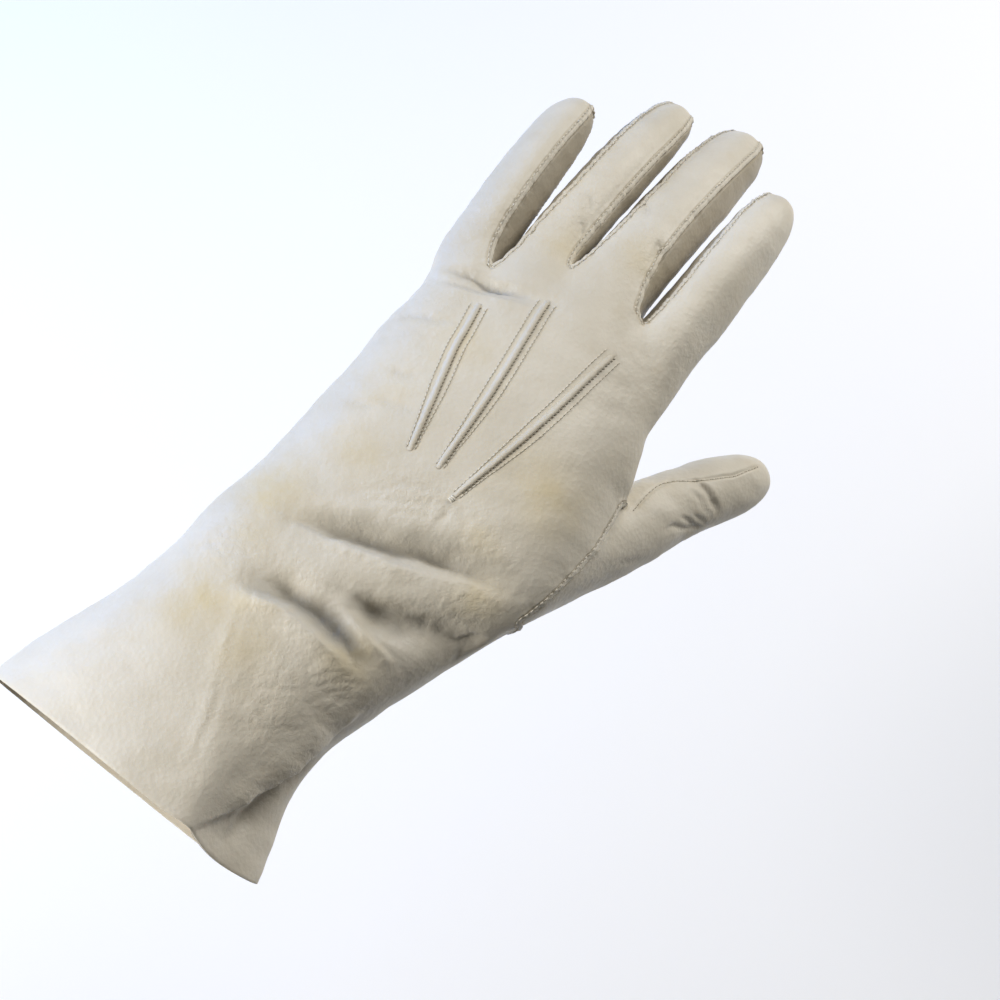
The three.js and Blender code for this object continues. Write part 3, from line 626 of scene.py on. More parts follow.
def thumb_ring(row, axis, around):
    """The places round the thumb at one row."""
    place, turned, pitched = axis(row["along"])
    side, forward, upward = axes_of(turned, pitched, 0)
    half_width = row["width"] * THUMB_WIDTH * THUMB_FULLNESS / 2
    half_depth = row["depth"] * THUMB_WIDTH * THUMB_FULLNESS / 2
    ring = []
    for k in range(around):
        a = math.radians(THUMB["start"] + 360 * k / around)
        ring.append(
            place + side * math.cos(a) * half_width + upward * math.sin(a) * half_depth
            - forward * row["tilt"] * math.cos(a) * half_width
        )
    return ring


def add_thumb(cage, rings):
    """Adds the set-in thumb, from the rim of its hole to the cap over its end."""
    start = np.array([THUMB["side"] * KNUCKLE_WIDTH, THUMB["along"] * HAND_LENGTH, THUMB["up"] * HAND_DEPTH])
    axis = curved_axis(start, THUMB_LENGTH, THUMB["turn"], THUMB["bend"], THUMB["pitch"], 0)
    ring = thumb_hole_rim(rings)
    around = len(ring)
    for row in THUMB_ROWS:
        ahead = [cage.add(place) for place in thumb_ring(row, axis, around)]
        for k in range(around):
            k2 = (k + 1) % around
            cage.face("thumb", ring[k2], ring[k], ahead[k], ahead[k2])
        ring = ahead
    place, turned, pitched = axis(1)
    tip = place + axes_of(turned, pitched, 0)[1] * THUMB_TIP * THUMB_LENGTH

    def cap(a, b, share):
        edge = cage.points[ring[a]] * (1 - share) + cage.points[ring[b]] * share
        return cage.add(edge * (1 - THUMB_CAP) + tip * THUMB_CAP)

    rows = [
        [ring[0], ring[1], ring[2], ring[3]],
        [ring[11], cap(11, 4, 1 / 3), cap(11, 4, 2 / 3), ring[4]],
        [ring[10], cap(10, 5, 1 / 3), cap(10, 5, 2 / 3), ring[5]],
        [ring[9], ring[8], ring[7], ring[6]],
    ]
    for r in range(3):
        for c in range(3):
            cage.face("thumb", rows[r][c], rows[r + 1][c], rows[r + 1][c + 1], rows[r][c + 1])


def build_cage():
    cage = Cage()
    rings, centre, axes = add_hand(cage)
    add_fingers(cage, rings[-1], centre, axes)
    add_thumb(cage, rings)
    return cage.arrays()


def summed(values, index, count):
    """For each of a count of points, the sum of the rows of values that its index names."""
    total = np.zeros((count, 3))
    np.add.at(total, index.ravel(), values)
    return total


def smoothed(points, quads, panels):
    """One round of Catmull-Clark smoothing; also gives each old face's four edge points."""
    count = len(points)
    centres = points[quads].mean(axis=1)
    a, b = quads, np.roll(quads, -1, axis=1)
    keys = np.minimum(a, b) * count + np.maximum(a, b)
    unique, inverse = np.unique(keys.ravel(), return_inverse=True)
    inverse = inverse.reshape(quads.shape)
    ends = np.stack([unique // count, unique % count], axis=1)
    shared = np.bincount(inverse.ravel(), minlength=len(unique))
    middles = points[ends].mean(axis=1)
    face_sum = summed(np.repeat(centres, 4, axis=0), inverse, len(unique))
    inner = shared == 2
    edge_points = np.where(inner[:, None], (middles * 2 + face_sum) / 4, middles)

    faces_at = np.bincount(quads.ravel(), minlength=count)[:, None]
    middle_sum = summed(np.repeat(middles, 2, axis=0), ends, count)
    centre_sum = summed(np.repeat(centres, 4, axis=0), quads, count)
    n = np.bincount(ends.ravel(), minlength=count)[:, None].astype(float)
    made = points * (n - 3) / n + centre_sum / (faces_at * n) + middle_sum * 2 / n**2
    rim = ends[~inner]
    rim_sum = summed(points[rim[:, ::-1]].reshape(-1, 3), rim, count)
    on_rim = np.unique(rim)
    made[on_rim] = points[on_rim] * 6 / 8 + rim_sum[on_rim] / 8

    edge_index = inverse + count + len(quads)
    centre_index = np.arange(len(quads)) + count
    corners = [
        np.stack([quads[:, k], edge_index[:, k], centre_index, edge_index[:, (k + 3) % 4]], axis=1)
        for k in range(4)
    ]
    new = np.stack(corners, axis=1).reshape(-1, 4)
    return np.concatenate([made, centres, edge_points]), new, np.repeat(panels, 4), edge_index


def normals_of(points, quads):
    """Unit normals of a mesh at its points."""
    area = np.cross(points[quads[:, 2]] - points[quads[:, 0]], points[quads[:, 3]] - points[quads[:, 1]])
    total = summed(np.repeat(area, 4, axis=0), quads, len(points))
    return total / np.maximum(np.linalg.norm(total, axis=1, keepdims=True), 1e-12)


def smoothstep(x, lo, hi):
    t = np.clip((x - lo) / (hi - lo), 0, 1)
    return t * t * (3 - 2 * t)


def stroke(places, normals, line, left, right, fade=0.3):
    """How strongly a drawn line reaches each place; its reach to the left and right may differ."""
    line = np.array(line, dtype=float)
    lengths = np.linalg.norm(np.diff(line, axis=0), axis=1)
    total = lengths.sum()
    best = np.full(len(places), 1e9)
    value = np.zeros(len(places))
    passed = 0.0
    for start, end, length in zip(line[:-1], line[1:], lengths):
        run = (end - start) / length
        away = places - start
        along = np.clip(away @ run, 0, length)
        gap = away - along[:, None] * run
        distance = np.linalg.norm(gap, axis=1)
        side = (np.cross(run, gap) * normals).sum(axis=1)
        reach = np.where(side > 0, left, right)
        share = (passed + along) / total
        ends = np.clip(np.minimum(share, 1 - share) / fade, 0, 1)
        here = np.exp(-((distance / reach) ** 2)) * (CREASE_END + (1 - CREASE_END) * ends)
        value = np.where(distance < best, here, value)
        best = np.minimum(best, distance)
        passed += length
    return value


def uneven(places, wave, count=16):
    """A smooth random field, mostly between -1 and 1, with features about one wave apart."""
    total = np.zeros(len(places))
    for _ in range(count):
        way = unit(random.normal(size=places.shape[1]))
        pace = math.tau / (wave * random.uniform(0.75, 1.5))
        total += np.cos(places @ way * pace + random.uniform(0, math.tau))
    return total / math.sqrt(count)


def turned(xy, middle, degrees):
    """Places seen from above, along and across a line at an angle through a middle."""
    angle = math.radians(degrees)
    along = np.array([math.cos(angle), math.sin(angle)])
    away = xy - middle
    return away @ along, away @ np.array([-along[1], along[0]])


def waver(places, wave, shift):
    """A smooth random shift of every place."""
    return np.stack([uneven(places, wave) for _ in range(3)], axis=1) * shift


def fold_relief(xy):
    """Height of the broad folds, seen from above, in millimetres."""
    height = np.zeros(len(xy))
    for fold in FOLDS:
        start = np.array([fold["from_side"] * KNUCKLE_WIDTH, fold["from_along"] * HAND_LENGTH])
        run = np.array([fold["to_side"] * KNUCKLE_WIDTH, fold["to_along"] * HAND_LENGTH]) - start
        along = np.clip(((xy - start) @ run) / (run @ run), 0, 1)
        distance = np.linalg.norm(xy - start - along[:, None] * run, axis=1) / (fold["reach"] * KNUCKLE_WIDTH)
        fade = np.minimum(1, FOLD_END + FOLD_RISE * np.minimum(along, 1 - along))
        height += fold["height"] * FOLD_DEPTH * fade * np.exp(-(distance**2))
    return height


def crease_relief(nudged, normals, back, strength):
    """Height of the creases and ridges, how worn the leather is along them, and how much painted shade
    darkens them.
    """
    flat, up = nudged * (1, 1, 0), np.array([0.0, 0.0, 1.0])
    drawn = [(crease, flat, up, [(x, y, 0) for x, y in crease["points"]], back) for crease in BACK_CREASES]
    drawn += [(crease, nudged, normals, crease["points"], 1.0) for crease in SIDE_CREASES]
    height, worn, painted_shade = np.zeros((3, len(nudged)))
    for crease, places, facing, line, shown in drawn:
        here = shown * stroke(places, facing, line, crease["left"], crease["right"])
        height += crease["height"] * here * strength
        worn = np.maximum(worn, CREASE_WEAR * here)
        # painted shade along the bottom of the deep creases, stronger the deeper they are
        painted_shade = np.maximum(painted_shade, here * min(1, max(0, -crease["height"] / PAINTED_SHADE_DEPTH)))
    return height, worn, painted_shade


def wrinkle_relief(xy, nudged_xy, back):
    """Height of the patches of fine wrinkles, and the wear that goes with them."""
    height, worn = np.zeros((2, len(xy)))
    for patch in WRINKLES:
        along, across = turned(xy, (patch["x"], patch["y"]), patch["turn"])
        window = back * np.exp(-((along / patch["length"]) ** 2) - (across / patch["width"]) ** 2)
        run, over = turned(nudged_xy, (patch["x"], patch["y"]), patch["lie"])
        field = uneven(np.stack([run / patch["stretch"], over], axis=1), patch["wave"] * FURROW_WAVE)
        height -= window * patch["depth"] * np.clip(FURROW_DEPTH - np.abs(field) / FURROW_WIDTH, 0, 1)
        worn = np.maximum(worn, window * min(1, patch["depth"] / WORN_DEPTH))
    return height, worn


def relief(points, normals):
    """Height of the leather's folds, creases and wrinkles at every place, with its wear and the painted shade
    of its creases.
    """
    xy = points[:, :2]
    back = smoothstep(normals[:, 2], 0, 0.5)
    nudged = points + sum(waver(points, row["wave"], row["shift"]) for row in WAVER)
    strength = 1 + STRENGTH_CHANGE * uneven(points, STRENGTH_WAVE)
    height, worn, painted_shade = crease_relief(nudged, normals, back, strength)
    height += back * fold_relief(xy)
    for row in THUMB_SEAM_FORM:
        height += row["height"] * stroke(points, normals, THUMB_SEAM, row["left"], row["right"], 0.05)
    wrinkle_height, wrinkle_wear = wrinkle_relief(xy, nudged[:, :2], back)
    height += wrinkle_height
    for row in SOFTNESS:
        height += row["height"] * uneven(points, row["wave"])
    return height, np.maximum(worn, wrinkle_wear), painted_shade


def stains(points, normals):
    """How yellowed the leather is at every place."""
    stain = np.zeros(len(points))
    for patch in STAINS:
        away = np.linalg.norm(points[:, :2] - (patch["x"], patch["y"]), axis=1)
        stain = np.maximum(stain, patch["strength"] * np.exp(-((away / patch["reach"]) ** 2)))
    return stain * smoothstep(normals[:, 2], 0, 0.5)


level = build_cage()
for _ in range(3):
    level = smoothed(*level[:3])
coarse_quads, coarse_panels = level[1], level[2]
fine_points, fine_quads, fine_panels, edge_index = smoothed(*level[:3])
skin_normals = normals_of(fine_points, fine_quads)
height, worn, painted_shade = relief(fine_points, skin_normals)
stain = stains(fine_points, skin_normals)
fine_points = fine_points + skin_normals * height[:, None]
skin_normals = normals_of(fine_points, fine_quads)


def chains(edges):
    """Directed edges joined into closed loops of vertex numbers."""
    after = dict(edges)
    loops = []
    while after:
        start, here = next(iter(after.items()))
        loop = [start]
        del after[start]
        while here != start:
            loop.append(here)
            here = after.pop(here)
        loops.append(loop)
    return loops


def panel_border(name):
    """Directed border edges of a panel on the finest mesh."""
    quads = fine_quads[fine_panels == name]
    a, b = quads.ravel(), np.roll(quads, -1, axis=1).ravel()
    count = len(fine_points)
    forward, backward = a * count + b, b * count + a
    rim = ~np.isin(forward, backward)
    return list(zip(a[rim].tolist(), b[rim].tolist()))


PANELS = ["trank", "thumb"] + [crotch["name"] for crotch in CROTCHES]
borders = {name: panel_border(name) for name in PANELS}
loops = {name: chains(borders[name]) for name in PANELS}
hem = min(loops["trank"], key=lambda loop: fine_points[loop][:, 1].mean())
seams = [loop for loop in loops["trank"] if loop is not hem]


def nearest_seam():
    """For every point, how far the nearest seam is and how far along that seam it lies."""
    tree = kdtree.KDTree(sum(len(loop) for loop in seams))
    passed_at = np.zeros(len(fine_points))
    for loop in seams:
        steps = np.linalg.norm(np.diff(fine_points[loop], axis=0), axis=1)
        passed_at[loop] = np.concatenate([[0], np.cumsum(steps)])
        for v in loop:
            tree.insert(fine_points[v], v)
    tree.balance()
    nearest = [tree.find(point)[1:] for point in fine_points]
    distance = np.array([away for _, away in nearest])
    return distance, passed_at[[v for v, _ in nearest]]


def gathered(distance, run):
    """How far the leather gathers out at every stitch of a seam, a little and unevenly."""
    ripple = np.cos(run * math.tau / SEAM_STITCH) + GATHER_CHANGE * uneven(fine_points, GATHER_WAVE)
    return GATHER * ripple * np.exp(-((distance / GATHER_REACH) ** 2))


def finely_cut():
    """Which coarse faces are cut once more: beside seams and hem, on back and cuff, and off the trank."""
    side, along, _ = fine_points[coarse_quads].mean(axis=1).T
    facing = skin_normals[coarse_quads][:, :, 2].mean(axis=1)
    near_seam = seam_distance[coarse_quads].min(axis=1) < FINE_SEAM
    near_hem = np.isin(coarse_quads, hem).any(axis=1)
    back = (facing > FINE_BACK["facing"]) & (along > FINE_BACK["start"]) & (along < FINE_BACK["end"])
    cuff = (facing > FINE_CUFF["facing"]) & (along <= FINE_CUFF["end"]) & (side > FINE_CUFF["side"])
    return near_seam | near_hem | back | cuff | (coarse_panels != "trank")


seam_distance, seam_run = nearest_seam()
fine_points += skin_normals * gathered(seam_distance, seam_run)[:, None]
refine = finely_cut()

# What is painted on the points for the shader, on the flesh side and on the raised points too; the last mark
# is painted shade, in deep creases and a little on the raised points
MARKS = ("seam_distance", "worn", "stain", "painted_shade")
UNMARKED = (9.0, 0.0, 0.0, 0.0)
# the raised points carry a little painted shade, so that their lit tops look no paler than the leather round
# them
CORD_MARKS = (9.0, 0.5, 0.1, 0.22)
skin_marks = np.stack([seam_distance, worn, stain, painted_shade], axis=1)


def polygons(name):
    """Faces of a panel, fine where wanted, with no cracks between fine and coarse."""
    split = np.zeros(edge_index.max() + 1, dtype=bool)
    split[edge_index[refine].ravel()] = True
    faces = fine_quads[np.repeat(refine & (coarse_panels == name), 4)].tolist()
    for number in np.nonzero(~refine & (coarse_panels == name))[0]:
        face = []
        for k in range(4):
            face.append(int(coarse_quads[number, k]))
            if split[edge_index[number, k]]:
                face.append(int(edge_index[number, k]))
        faces.append(face)
    return faces


def inward(name):
    """For every border point of a panel, the direction into the panel along its surface."""
    pull = {}
    for a, b in borders[name]:
        edge = fine_points[b] - fine_points[a]
        for v in (a, b):
            pull[v] = pull.get(v, 0) + np.cross(skin_normals[v], edge)
    return {v: unit(way) for v, way in pull.items()}


def make_object(name, vertices, faces, materials, marks=None):
    """A smooth mesh from places in millimetres, with its marks as a row for each place."""
    mesh = bpy.data.meshes.new(name)
    mesh.from_pydata((np.asarray(vertices) * MM).tolist(), [], faces)
    if marks is not None:
        for key, values in zip(MARKS, np.asarray(marks, dtype=np.float32).T):
            mesh.attributes.new(key, "FLOAT", "POINT").data.foreach_set("value", np.ascontiguousarray(values))
    mesh.shade_smooth()
    for material in materials:
        mesh.materials.append(material)
    mesh.update()
    thing = bpy.data.objects.new(name, mesh)
    bpy.context.scene.collection.objects.link(thing)
    return thing


def new_numbers(kept, first=0):
    """The new number of every kept point, counted from the first."""
    numbers = np.full(len(fine_points), -1)
    numbers[kept] = np.arange(len(kept)) + first
    return numbers


def outer_skin(name, used, numbers, pull):
    """Places of a panel's outer face, spread and lifted where it meets its seams."""
    way = TRANK_EDGE if name == "trank" else TUCKED_EDGE
    lift = way["lift"] * np.exp(-((seam_distance[used] / way["fall"]) ** 2))
    outer = fine_points[used] + skin_normals[used] * lift[:, None]
    hem_points = set(hem)
    for v, way_in in pull.items():
        if v not in hem_points:
            outer[numbers[v]] -= way_in * way["spread"]
    return outer


def turned_edge(loop, outer, numbers, pull, count):
    """Rows of places that turn a panel's cut edge over to its flesh side, and the faces between them."""
    rows, faces = [], []
    before = [int(numbers[v]) for v in loop]
    for row in EDGE:
        in_by, down_by = row["inward"] * LEATHER, row["depth"] * LEATHER
        rows += [outer[numbers[v]] - pull[v] * in_by - skin_normals[v] * down_by for v in loop]
        here = list(range(count, count + len(loop)))
        for k in range(len(loop)):
            k2 = (k + 1) % len(loop)
            faces.append([before[k2], before[k], here[k], here[k2]])
        before = here
        count += len(loop)
    return np.array(rows), faces


def panel_object(name, material, inner_material):
    """A panel as one piece: its outer face, its turned edges and its coarser flesh side."""
    cut = polygons(name)
    used = np.unique([v for face in cut for v in face])
    numbers = new_numbers(used)
    pull = inward(name)
    outer = outer_skin(name, used, numbers, pull)
    faces = [[int(numbers[v]) for v in face] for face in cut]
    vertices, marks, count = [outer], [skin_marks[used]], len(used)
    for loop in loops[name]:
        rows, edge_faces = turned_edge(loop, outer, numbers, pull, count)
        vertices.append(rows)
        marks.append(np.tile(skin_marks[loop], (len(EDGE), 1)))
        faces += edge_faces
        count += len(rows)
    outer_faces = len(faces)
    inside = coarse_quads[coarse_panels == name]
    kept = np.unique(inside)
    inner_numbers = new_numbers(kept, count)
    vertices.append(fine_points[kept] - skin_normals[kept] * LEATHER * FLESH_DEPTH)
    marks.append(np.tile(UNMARKED, (len(kept), 1)))
    faces += [[int(inner_numbers[v]) for v in quad[::-1]] for quad in inside]
    made = make_object(
        name + "_leather", np.concatenate(vertices), faces, [material, inner_material], np.concatenate(marks),
    )
    index = np.zeros(len(faces), dtype=np.int32)
    index[outer_faces:] = 1
    made.data.polygons.foreach_set("material_index", index)
    return made


def srgb(r, g, b):
    """Linear colour of an sRGB colour given from 0 to 255."""
    return tuple(
        (c / 255 / 12.92 if c <= 10 else ((c / 255 + 0.055) / 1.055) ** 2.4) for c in (r, g, b)
    ) + (1,)


class Nodes:
    """Small helper that adds shader nodes and joins them."""

    def __init__(self, name):
        self.material = bpy.data.materials.new(name)
        self.material.use_nodes = True
        self.tree = self.material.node_tree
        self.tree.nodes.clear()

    def join(self, socket, value):
        if isinstance(value, bpy.types.NodeSocket):
            self.tree.links.new(value, socket)
        else:
            socket.default_value = value

    def add(self, kind, **inputs):
        node = self.tree.nodes.new(kind)
        for key, value in inputs.items():
            self.join(node.inputs[key.replace("_", " ")], value)
        return node

    def maths(self, operation, *values):
        node = self.tree.nodes.new("ShaderNodeMath")
        node.operation = operation
        for socket, value in zip(node.inputs, values):
            self.join(socket, value)
        return node.outputs[0]

    def plus(self, *values):
        total = values[0]
        for value in values[1:]:
            total = self.maths("ADD", total, value)
        return total

    def times(self, a, b):
        return self.maths("MULTIPLY", a, b)

    def gap(self, a, b):
        """How far two numbers are apart."""
        return self.maths("ABSOLUTE", self.maths("SUBTRACT", a, b))

    def ramp(self, value, lo, hi, low=0.0, high=1.0):
        node = self.add("ShaderNodeMapRange", Value=value, From_Min=lo, From_Max=hi, To_Min=low, To_Max=high)
        return node.outputs[0]

    def mix(self, factor, a, b):
        node = self.tree.nodes.new("ShaderNodeMix")
        node.data_type = "RGBA"
        for key, value in (("Factor_Float", factor), ("A_Color", a), ("B_Color", b)):
            self.join(next(s for s in node.inputs if s.identifier == key), value)
        return next(s for s in node.outputs if s.identifier == "Result_Color")

    def mark(self, name):
        """A number that is painted on the leather's points."""
        node = self.add("ShaderNodeAttribute")
        node.attribute_name = name
        return node.outputs["Fac"]

    def noise(self, place, scale, detail=3.0, roughness=0.5, distortion=0.0):
        node = self.add(
            "ShaderNodeTexNoise", Vector=place, Scale=scale, Detail=detail, Roughness=roughness,
            Distortion=distortion,
        )
        return node.outputs["Fac"]

    def finish(self, shader):
        out = self.add("ShaderNodeOutputMaterial")
        self.tree.links.new(shader.outputs[0], out.inputs["Surface"])
        return self.material


STAINED = srgb(205, 189, 148)
# grey-brown of the painted shade in deep creases and on the raised points
PAINTED_SHADE_COLOUR = srgb(146, 141, 129)

# Leathers and threads: their main, shaded and stained colours from 0 to 255, how rough they are, and
# whether they show the marks painted on their points; some are darker copies that stand for painted shade
LEATHERS = table(
    "name main shade stain rough marked",
    ("kid_leather", (217, 210, 194), (206, 198, 180), (196, 182, 153), 0.5, True),
    # darker copy of the kid leather: painted shade on the strips between the fingers
    ("fourchette_kid", (174, 165, 147), (162, 152, 132), (160, 147, 120), 0.5, True),
    ("flesh_side", (206, 198, 180), (196, 186, 166), (188, 174, 148), 0.8, False),
    ("cream_thread", (222, 217, 203), (208, 200, 182), (198, 186, 162), 0.6, False),
    # dark leather for the dots of painted shadow in the needle holes
    ("hole_leather", (176, 167, 149), (164, 154, 134), (154, 142, 118), 0.7, False),
    # darker copy of the cream thread: painted shade at the foot of the raised points
    ("shaded_thread", (150, 141, 124), (136, 127, 110), (128, 118, 100), 0.7, False),
)


def seam_looks(n, place, colour, height, main, stain):
    """Near a seam: gathered leather, a paler raised edge and a darker groove along the stitches."""
    near = n.mark("seam_distance")
    close = n.ramp(near, 0.3, 2.4, 1.0, 0.0)
    height = n.plus(height, n.times(n.noise(place, 900.0, 2.0, 0.5), n.times(close, 0.22)))
    height = n.plus(height, n.ramp(n.gap(near, STITCH_INSET), 0.0, 0.5, -0.24, 0.0))
    colour = n.mix(n.ramp(near, STITCH_INSET, STITCH_INSET + 0.5, 0.35, 0.0), colour, main)
    colour = n.mix(n.ramp(n.gap(near, STITCH_INSET + 0.15), 0.1, 0.5, 0.35, 0.0), colour, stain)
    return colour, height


def leather(name, main, shade, stain, rough, marked):
    """Kid leather: clouded colour, yellowed patches, painted shade in deep creases, fine pebbled grain and
    wrinkles where it is worn.
    """
    n = Nodes(name)
    main, shade, stain = srgb(*main), srgb(*shade), srgb(*stain)
    place = n.add("ShaderNodeTexCoord").outputs["Object"]
    cloudy = n.noise(place, 120.0, 5.0, 0.6)
    colour = n.mix(n.ramp(n.noise(place, 38.0, 4.0, 0.55), 0.35, 0.68), main, shade)
    colour = n.mix(n.ramp(cloudy, 0.58, 0.78, 0.0, 0.3), colour, stain)
    colour = n.mix(n.ramp(n.noise(place, 1400.0, 3.0, 0.6), 0.5, 0.8, 0.0, 0.2), colour, shade)
    pebble = n.add("ShaderNodeTexVoronoi", Vector=place, Scale=760.0).outputs["Distance"]
    height = n.plus(n.times(pebble, 0.065), n.times(n.noise(place, 2400.0, 2.0, 0.5), 0.02))
    wrinkle = n.noise(place, 430.0, 2.5, 0.5, 0.2)
    if marked:
        worn = n.mark("worn")
        depth = n.plus(n.times(worn, 0.3), 0.085)
        furrow = n.ramp(n.gap(n.noise(place, 560.0, 2.0, 0.5, 0.3), 0.5), 0.0, 0.09, -1.0, 0.0)
        height = n.plus(height, n.times(wrinkle, depth), n.times(furrow, n.times(depth, 0.12)))
        colour = n.mix(n.times(n.mark("stain"), n.ramp(cloudy, 0.3, 0.6, 0.35, 1.0)), colour, STAINED)
        # painted shade: deep creases and the raised points are darkened towards grey-brown
        colour = n.mix(n.times(n.mark("painted_shade"), 0.65), colour, PAINTED_SHADE_COLOUR)
        colour, height = seam_looks(n, place, colour, height, main, stain)
        dirt = n.times(n.ramp(wrinkle, 0.3, 0.5, 1.0, 0.0), n.times(worn, 0.22))
        colour = n.mix(dirt, colour, stain)
    else:
        height = n.plus(height, n.times(wrinkle, 0.09))
    bump = n.add("ShaderNodeBump", Strength=1.0, Distance=0.001, Height=height)
    shader = n.add(
        "ShaderNodeBsdfPrincipled",
        Normal=bump.outputs[0],
        Base_Color=colour,
        Roughness=n.ramp(cloudy, 0.3, 0.8, rough - 0.06, rough + 0.12),
        Specular_IOR_Level=0.4,
        Sheen_Weight=0.08,
        Sheen_Roughness=0.4,
        Subsurface_Weight=0.05,
        Subsurface_Scale=0.0015,
        Subsurface_Radius=(1.0, 0.7, 0.5),
    )
    return n.finish(shader)


def pale_floor():
    n = Nodes("pale_floor")
    shader = n.add(
        "ShaderNodeBsdfPrincipled",
        Base_Color=(0.9, 0.89, 0.87, 1),
        Roughness=0.9,
        Emission_Color=(1, 1, 1, 1),
        Emission_Strength=0.08,
    )
    return n.finish(shader)


looks = {row["name"]: leather(**row) for row in LEATHERS}

SLOTS = {"trank": "trank_leather", "thumb": "thumb_leather"}
trees = {}
for name in PANELS:
    # the strips between the fingers take a darker copy of the kid leather: painted shade for their sides that
    # face away from the light
    outer_look = "kid_leather" if name in SLOTS else "fourchette_kid"
    thing = panel_object(name, looks[outer_look], looks["flesh_side"])
    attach(thing, "root")
    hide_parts(name)
    trees[name] = BVHTree.FromPolygons(
        [v.co / MM for v in thing.data.vertices], [list(p.vertices) for p in thing.data.polygons]
    )


def back_at(x, y):
    """Place and outward direction of the back's surface under a point of the plan."""
    spot, normal, _, _ = trees["trank"].ray_cast(Vector((x, y, 2 * HAND_DEPTH)), Vector((0, 0, -1)))
    return np.array(spot), np.array(normal if normal.z > 0 else -normal)


def evenly(line, spacing):
    """A polyline's places at even steps."""
    lengths = np.concatenate([[0], np.cumsum(np.linalg.norm(np.diff(line, axis=0), axis=1))])
    count = max(2, int(round(lengths[-1] / spacing)) + 1)
    at = np.linspace(0, lengths[-1], count)
    return np.stack([np.interp(at, lengths, line[:, k]) for k in range(line.shape[1])], axis=1)


def curve_through(points, spacing, steps=24):
    """Even steps along a smooth curve through some places."""
    p = np.array(points, dtype=float)
    p = np.concatenate([[2 * p[0] - p[1]], p, [2 * p[-1] - p[-2]]])
    dense = []
    for k in range(1, len(p) - 2):
        a, b, c, d = p[k - 1 : k + 3]
        for t in np.linspace(0, 1, steps, endpoint=False):
            cubic = 2 * b + (c - a) * t + (2 * a - 5 * b + 4 * c - d) * t**2 + (3 * b - a - 3 * c + d) * t**3
            dense.append(0.5 * cubic)
    dense.append(p[-2])
    return evenly(np.array(dense), spacing)


def smoothed_line(places, reach):
    """Places of a line, each the mean of its neighbours up to a reach on either side."""
    kernel = np.ones(2 * reach + 1) / (2 * reach + 1)
    padded = np.pad(places, ((reach, reach), (0, 0)), mode="edge")
    return np.stack([np.convolve(padded[:, k], kernel, mode="valid") for k in range(3)], axis=1)


def cord_places(path, base):
    """Section after section of one raised point, lower and narrower towards its ends."""
    line = curve_through(path, CORD_STEP)
    on_back = [back_at(*p) for p in line]
    spots = smoothed_line(np.array([spot for spot, _ in on_back]), 3)
    runs = np.gradient(spots, axis=0)
    places = []
    for k, (_, normal) in enumerate(on_back):
        across = unit(np.cross(unit(runs[k]), normal))
        from_end = min(k, len(line) - 1 - k) * CORD_STEP
        full = min(1.0, CORD_END_HEIGHT + from_end / CORD_TAPER)
        wobble = 1 + CORD_WOBBLE * noise.noise(Vector((k * CORD_STEP / CORD_WOBBLE_LENGTH, base, 0)))
        width = CORD_END_WIDTH + (1 - CORD_END_WIDTH) * full
        for side, up in CORD_PROFILE:
            places.append(spots[k] + (across * side * width + normal * up * full) * wobble)
    return places


def raised_points():
    """The same leather pinched up into three rounded cords."""
    vertices, faces = [], []
    size = len(CORD_PROFILE)
    for path in POINTS:
        base = len(vertices)
        vertices += cord_places(path, base)
        for row in range(base, len(vertices) - size, size):
            faces += [[a, a + 1, a + size + 1, a + size] for a in range(row, row + size - 1)]
    marks = np.tile(CORD_MARKS, (len(vertices), 1))
    cords = make_object("raised_points", vertices, faces, [looks["kid_leather"]], marks)
    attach(cords, "root")


def capsule(spot, along, normal, size, thick):
    """Places round a short bowed capsule, ring by ring."""
    across = unit(np.cross(along, normal))
    places = []
    for row in STITCH_FORM:
        middle = spot + along * row["along"] * size + normal * thick * (row["bow"] - STITCH_SINK)
        for corner in range(STITCH_SIDES):
            angle = math.tau * corner / STITCH_SIDES
            ring = across * math.cos(angle) + normal * math.sin(angle)
            places.append(middle + ring * thick / 2 * row["full"])
    return places


def capsule_faces(base):
    """Faces of a capsule whose places start at a base number."""
    faces = []
    for ring in range(base, base + (len(STITCH_FORM) - 1) * STITCH_SIDES, STITCH_SIDES):
        for corner in range(STITCH_SIDES):
            a, b = ring + corner, ring + (corner + 1) % STITCH_SIDES
            faces.append([b, a, a + STITCH_SIDES, b + STITCH_SIDES])
    end = base + (len(STITCH_FORM) - 1) * STITCH_SIDES
    faces.append([base + corner for corner in range(STITCH_SIDES)])
    faces.append([end + corner for corner in reversed(range(STITCH_SIDES))])
    return faces


def stitches(name, rows):
    """Stitches of one kind along rows of places with their outward directions."""
    kind = next(row for row in STITCHES if row["name"] == name)
    vertices, faces = [], []
    for row in rows:
        both = evenly(np.array([np.concatenate(pair) for pair in row]), kind["spacing"])
        both = both[:-1] * (1 - kind["start"]) + both[1:] * kind["start"]
        runs = np.gradient(both[:, :3], axis=0)
        for k in range(len(both)):
            spot, normal, along = both[k, :3], unit(both[k, 3:]), unit(runs[k])
            turn = kind["slant"] + random.normal(0, STITCH_TURN_CHANGE)
            along = unit(along + unit(np.cross(along, normal)) * turn)
            size = kind["length"] * (1 + random.normal(0, STITCH_LENGTH_CHANGE))
            faces += capsule_faces(len(vertices))
            vertices += capsule(spot, along, normal, size, kind["thick"])
    thing = make_object(name, vertices, faces, [looks[kind["look"]]])
    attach(thing, "root")


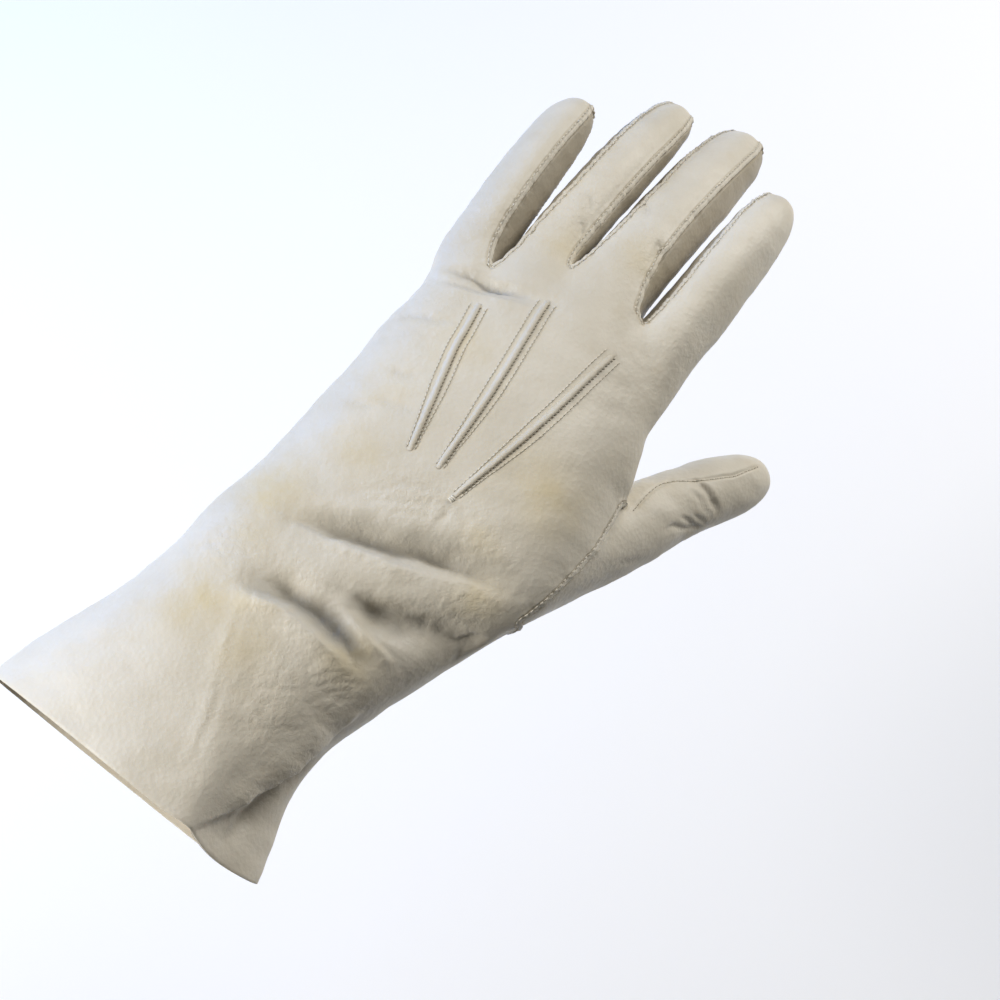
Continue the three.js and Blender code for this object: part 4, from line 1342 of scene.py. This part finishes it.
def beside_point(path, step, wide, narrow):
    """A row on the back beside a raised point, at a gap that narrows from its middle to its end."""
    line = curve_through(path, step)
    runs = np.gradient(line, axis=0)
    sideways = np.stack([runs[:, 1], -runs[:, 0]], axis=1)
    sideways /= np.linalg.norm(sideways, axis=1, keepdims=True)
    gap = wide - (wide - narrow) * smoothstep(np.linspace(0, 1, len(line)), 0.5, 1.0)
    return [back_at(*p) for p in line + sideways * gap[:, None]]


def seam_row(loop, pull):
    """A row just inside the trank's edge, round one of its seams."""
    row = []
    for v in loop + loop[:1]:
        spot = fine_points[v] + pull[v] * STITCH_INSET
        near, _, _, _ = trees["trank"].find_nearest(Vector(spot + skin_normals[v] * 0.3))
        row.append((np.array(near), skin_normals[v]))
    return row


def thumb_row():
    """A row down the thumb's own seam."""
    row = []
    for spot in curve_through(THUMB_SEAM, ROW_STEP):
        near, normal, _, _ = trees["thumb"].find_nearest(Vector(spot))
        row.append((np.array(near), np.array(normal)))
    return row


def sew():
    """All rows of stitches, and the dark dots of painted shadow for the needle holes between them."""
    rows = [
        beside_point(path, ROW_STEP, side * POINT_GAP, side * POINT_END_GAP)[2:-1]
        for path in POINTS
        for side in (-1, 1)
    ]
    stitches("point_stitches", rows)
    # dark dots between the stitches: painted shadow of the needle holes
    stitches("point_holes", rows)
    # stitches in darker thread along each raised point's foot: painted shade
    stitches("foot_stitches", [beside_point(path, FOOT_STEP, -FOOT_GAP, -FOOT_GAP)[3:-3] for path in POINTS])
    end_x, end_y = POINTS[-1][-1]
    knot = [back_at(end_x, end_y - KNOT["behind"] + step * KNOT["step"]) for step in range(KNOT["steps"])]
    stitches("end_knot", [knot])
    pull = inward("trank")
    rows = [seam_row(loop, pull) for loop in seams] + [thumb_row()]
    stitches("seam_stitches", rows)
    # dark dots between the stitches: painted shadow of the needle holes
    stitches("seam_holes", rows)


def set_camera():
    """The camera at the photo's angle."""
    azimuth, elevation = math.radians(CAMERA["azimuth"]), math.radians(CAMERA["elevation"])
    level = math.cos(elevation)
    behind = Vector((math.sin(azimuth) * level, -math.cos(azimuth) * level, math.sin(elevation)))
    camera = bpy.data.objects.new("camera", bpy.data.cameras.new("camera"))
    camera.data.lens = LENS
    camera.data.sensor_width = SENSOR
    camera.data.clip_start = 0.01
    camera.location = (Vector(CAMERA["target"]) + behind * CAMERA["away"]) * MM
    camera.rotation_euler = (-behind).to_track_quat("-Z", "Y").to_euler()
    bpy.context.scene.collection.objects.link(camera)
    bpy.context.scene.camera = camera


def set_lights():
    """Soft disk lights round the glove's middle, and a faint light from all round."""
    for row in LIGHTS:
        lamp = bpy.data.lights.new(row["name"], "AREA")
        lamp.shape = "DISK"
        lamp.size = row["size"]
        lamp.energy = row["power"]
        lamp.color = row["colour"]
        thing = bpy.data.objects.new(row["name"], lamp)
        toward = Vector(row["direction"]).normalized()
        thing.location = Vector(LIT_MIDDLE) * MM + toward * row["distance"]
        thing.rotation_euler = toward.to_track_quat("Z", "Y").to_euler()
        bpy.context.scene.collection.objects.link(thing)
    world = bpy.data.worlds.new("studio")
    world.use_nodes = True
    background = world.node_tree.nodes["Background"]
    background.inputs["Color"].default_value = WORLD_COLOUR
    background.inputs["Strength"].default_value = WORLD_STRENGTH
    bpy.context.scene.world = world


def add_floor():
    corners = [(-1, -1), (1, -1), (1, 1), (-1, 1)]
    places = [(x * FLOOR["half"], y * FLOOR["half"], FLOOR["height"]) for x, y in corners]
    floor = make_object("floor", places, [[0, 1, 2, 3]], [pale_floor()])


raised_points()
sew()
set_camera()
set_lights()
add_floor()
bpy.context.scene.view_settings.view_transform = "Standard"
bpy.context.scene.view_settings.look = "None"
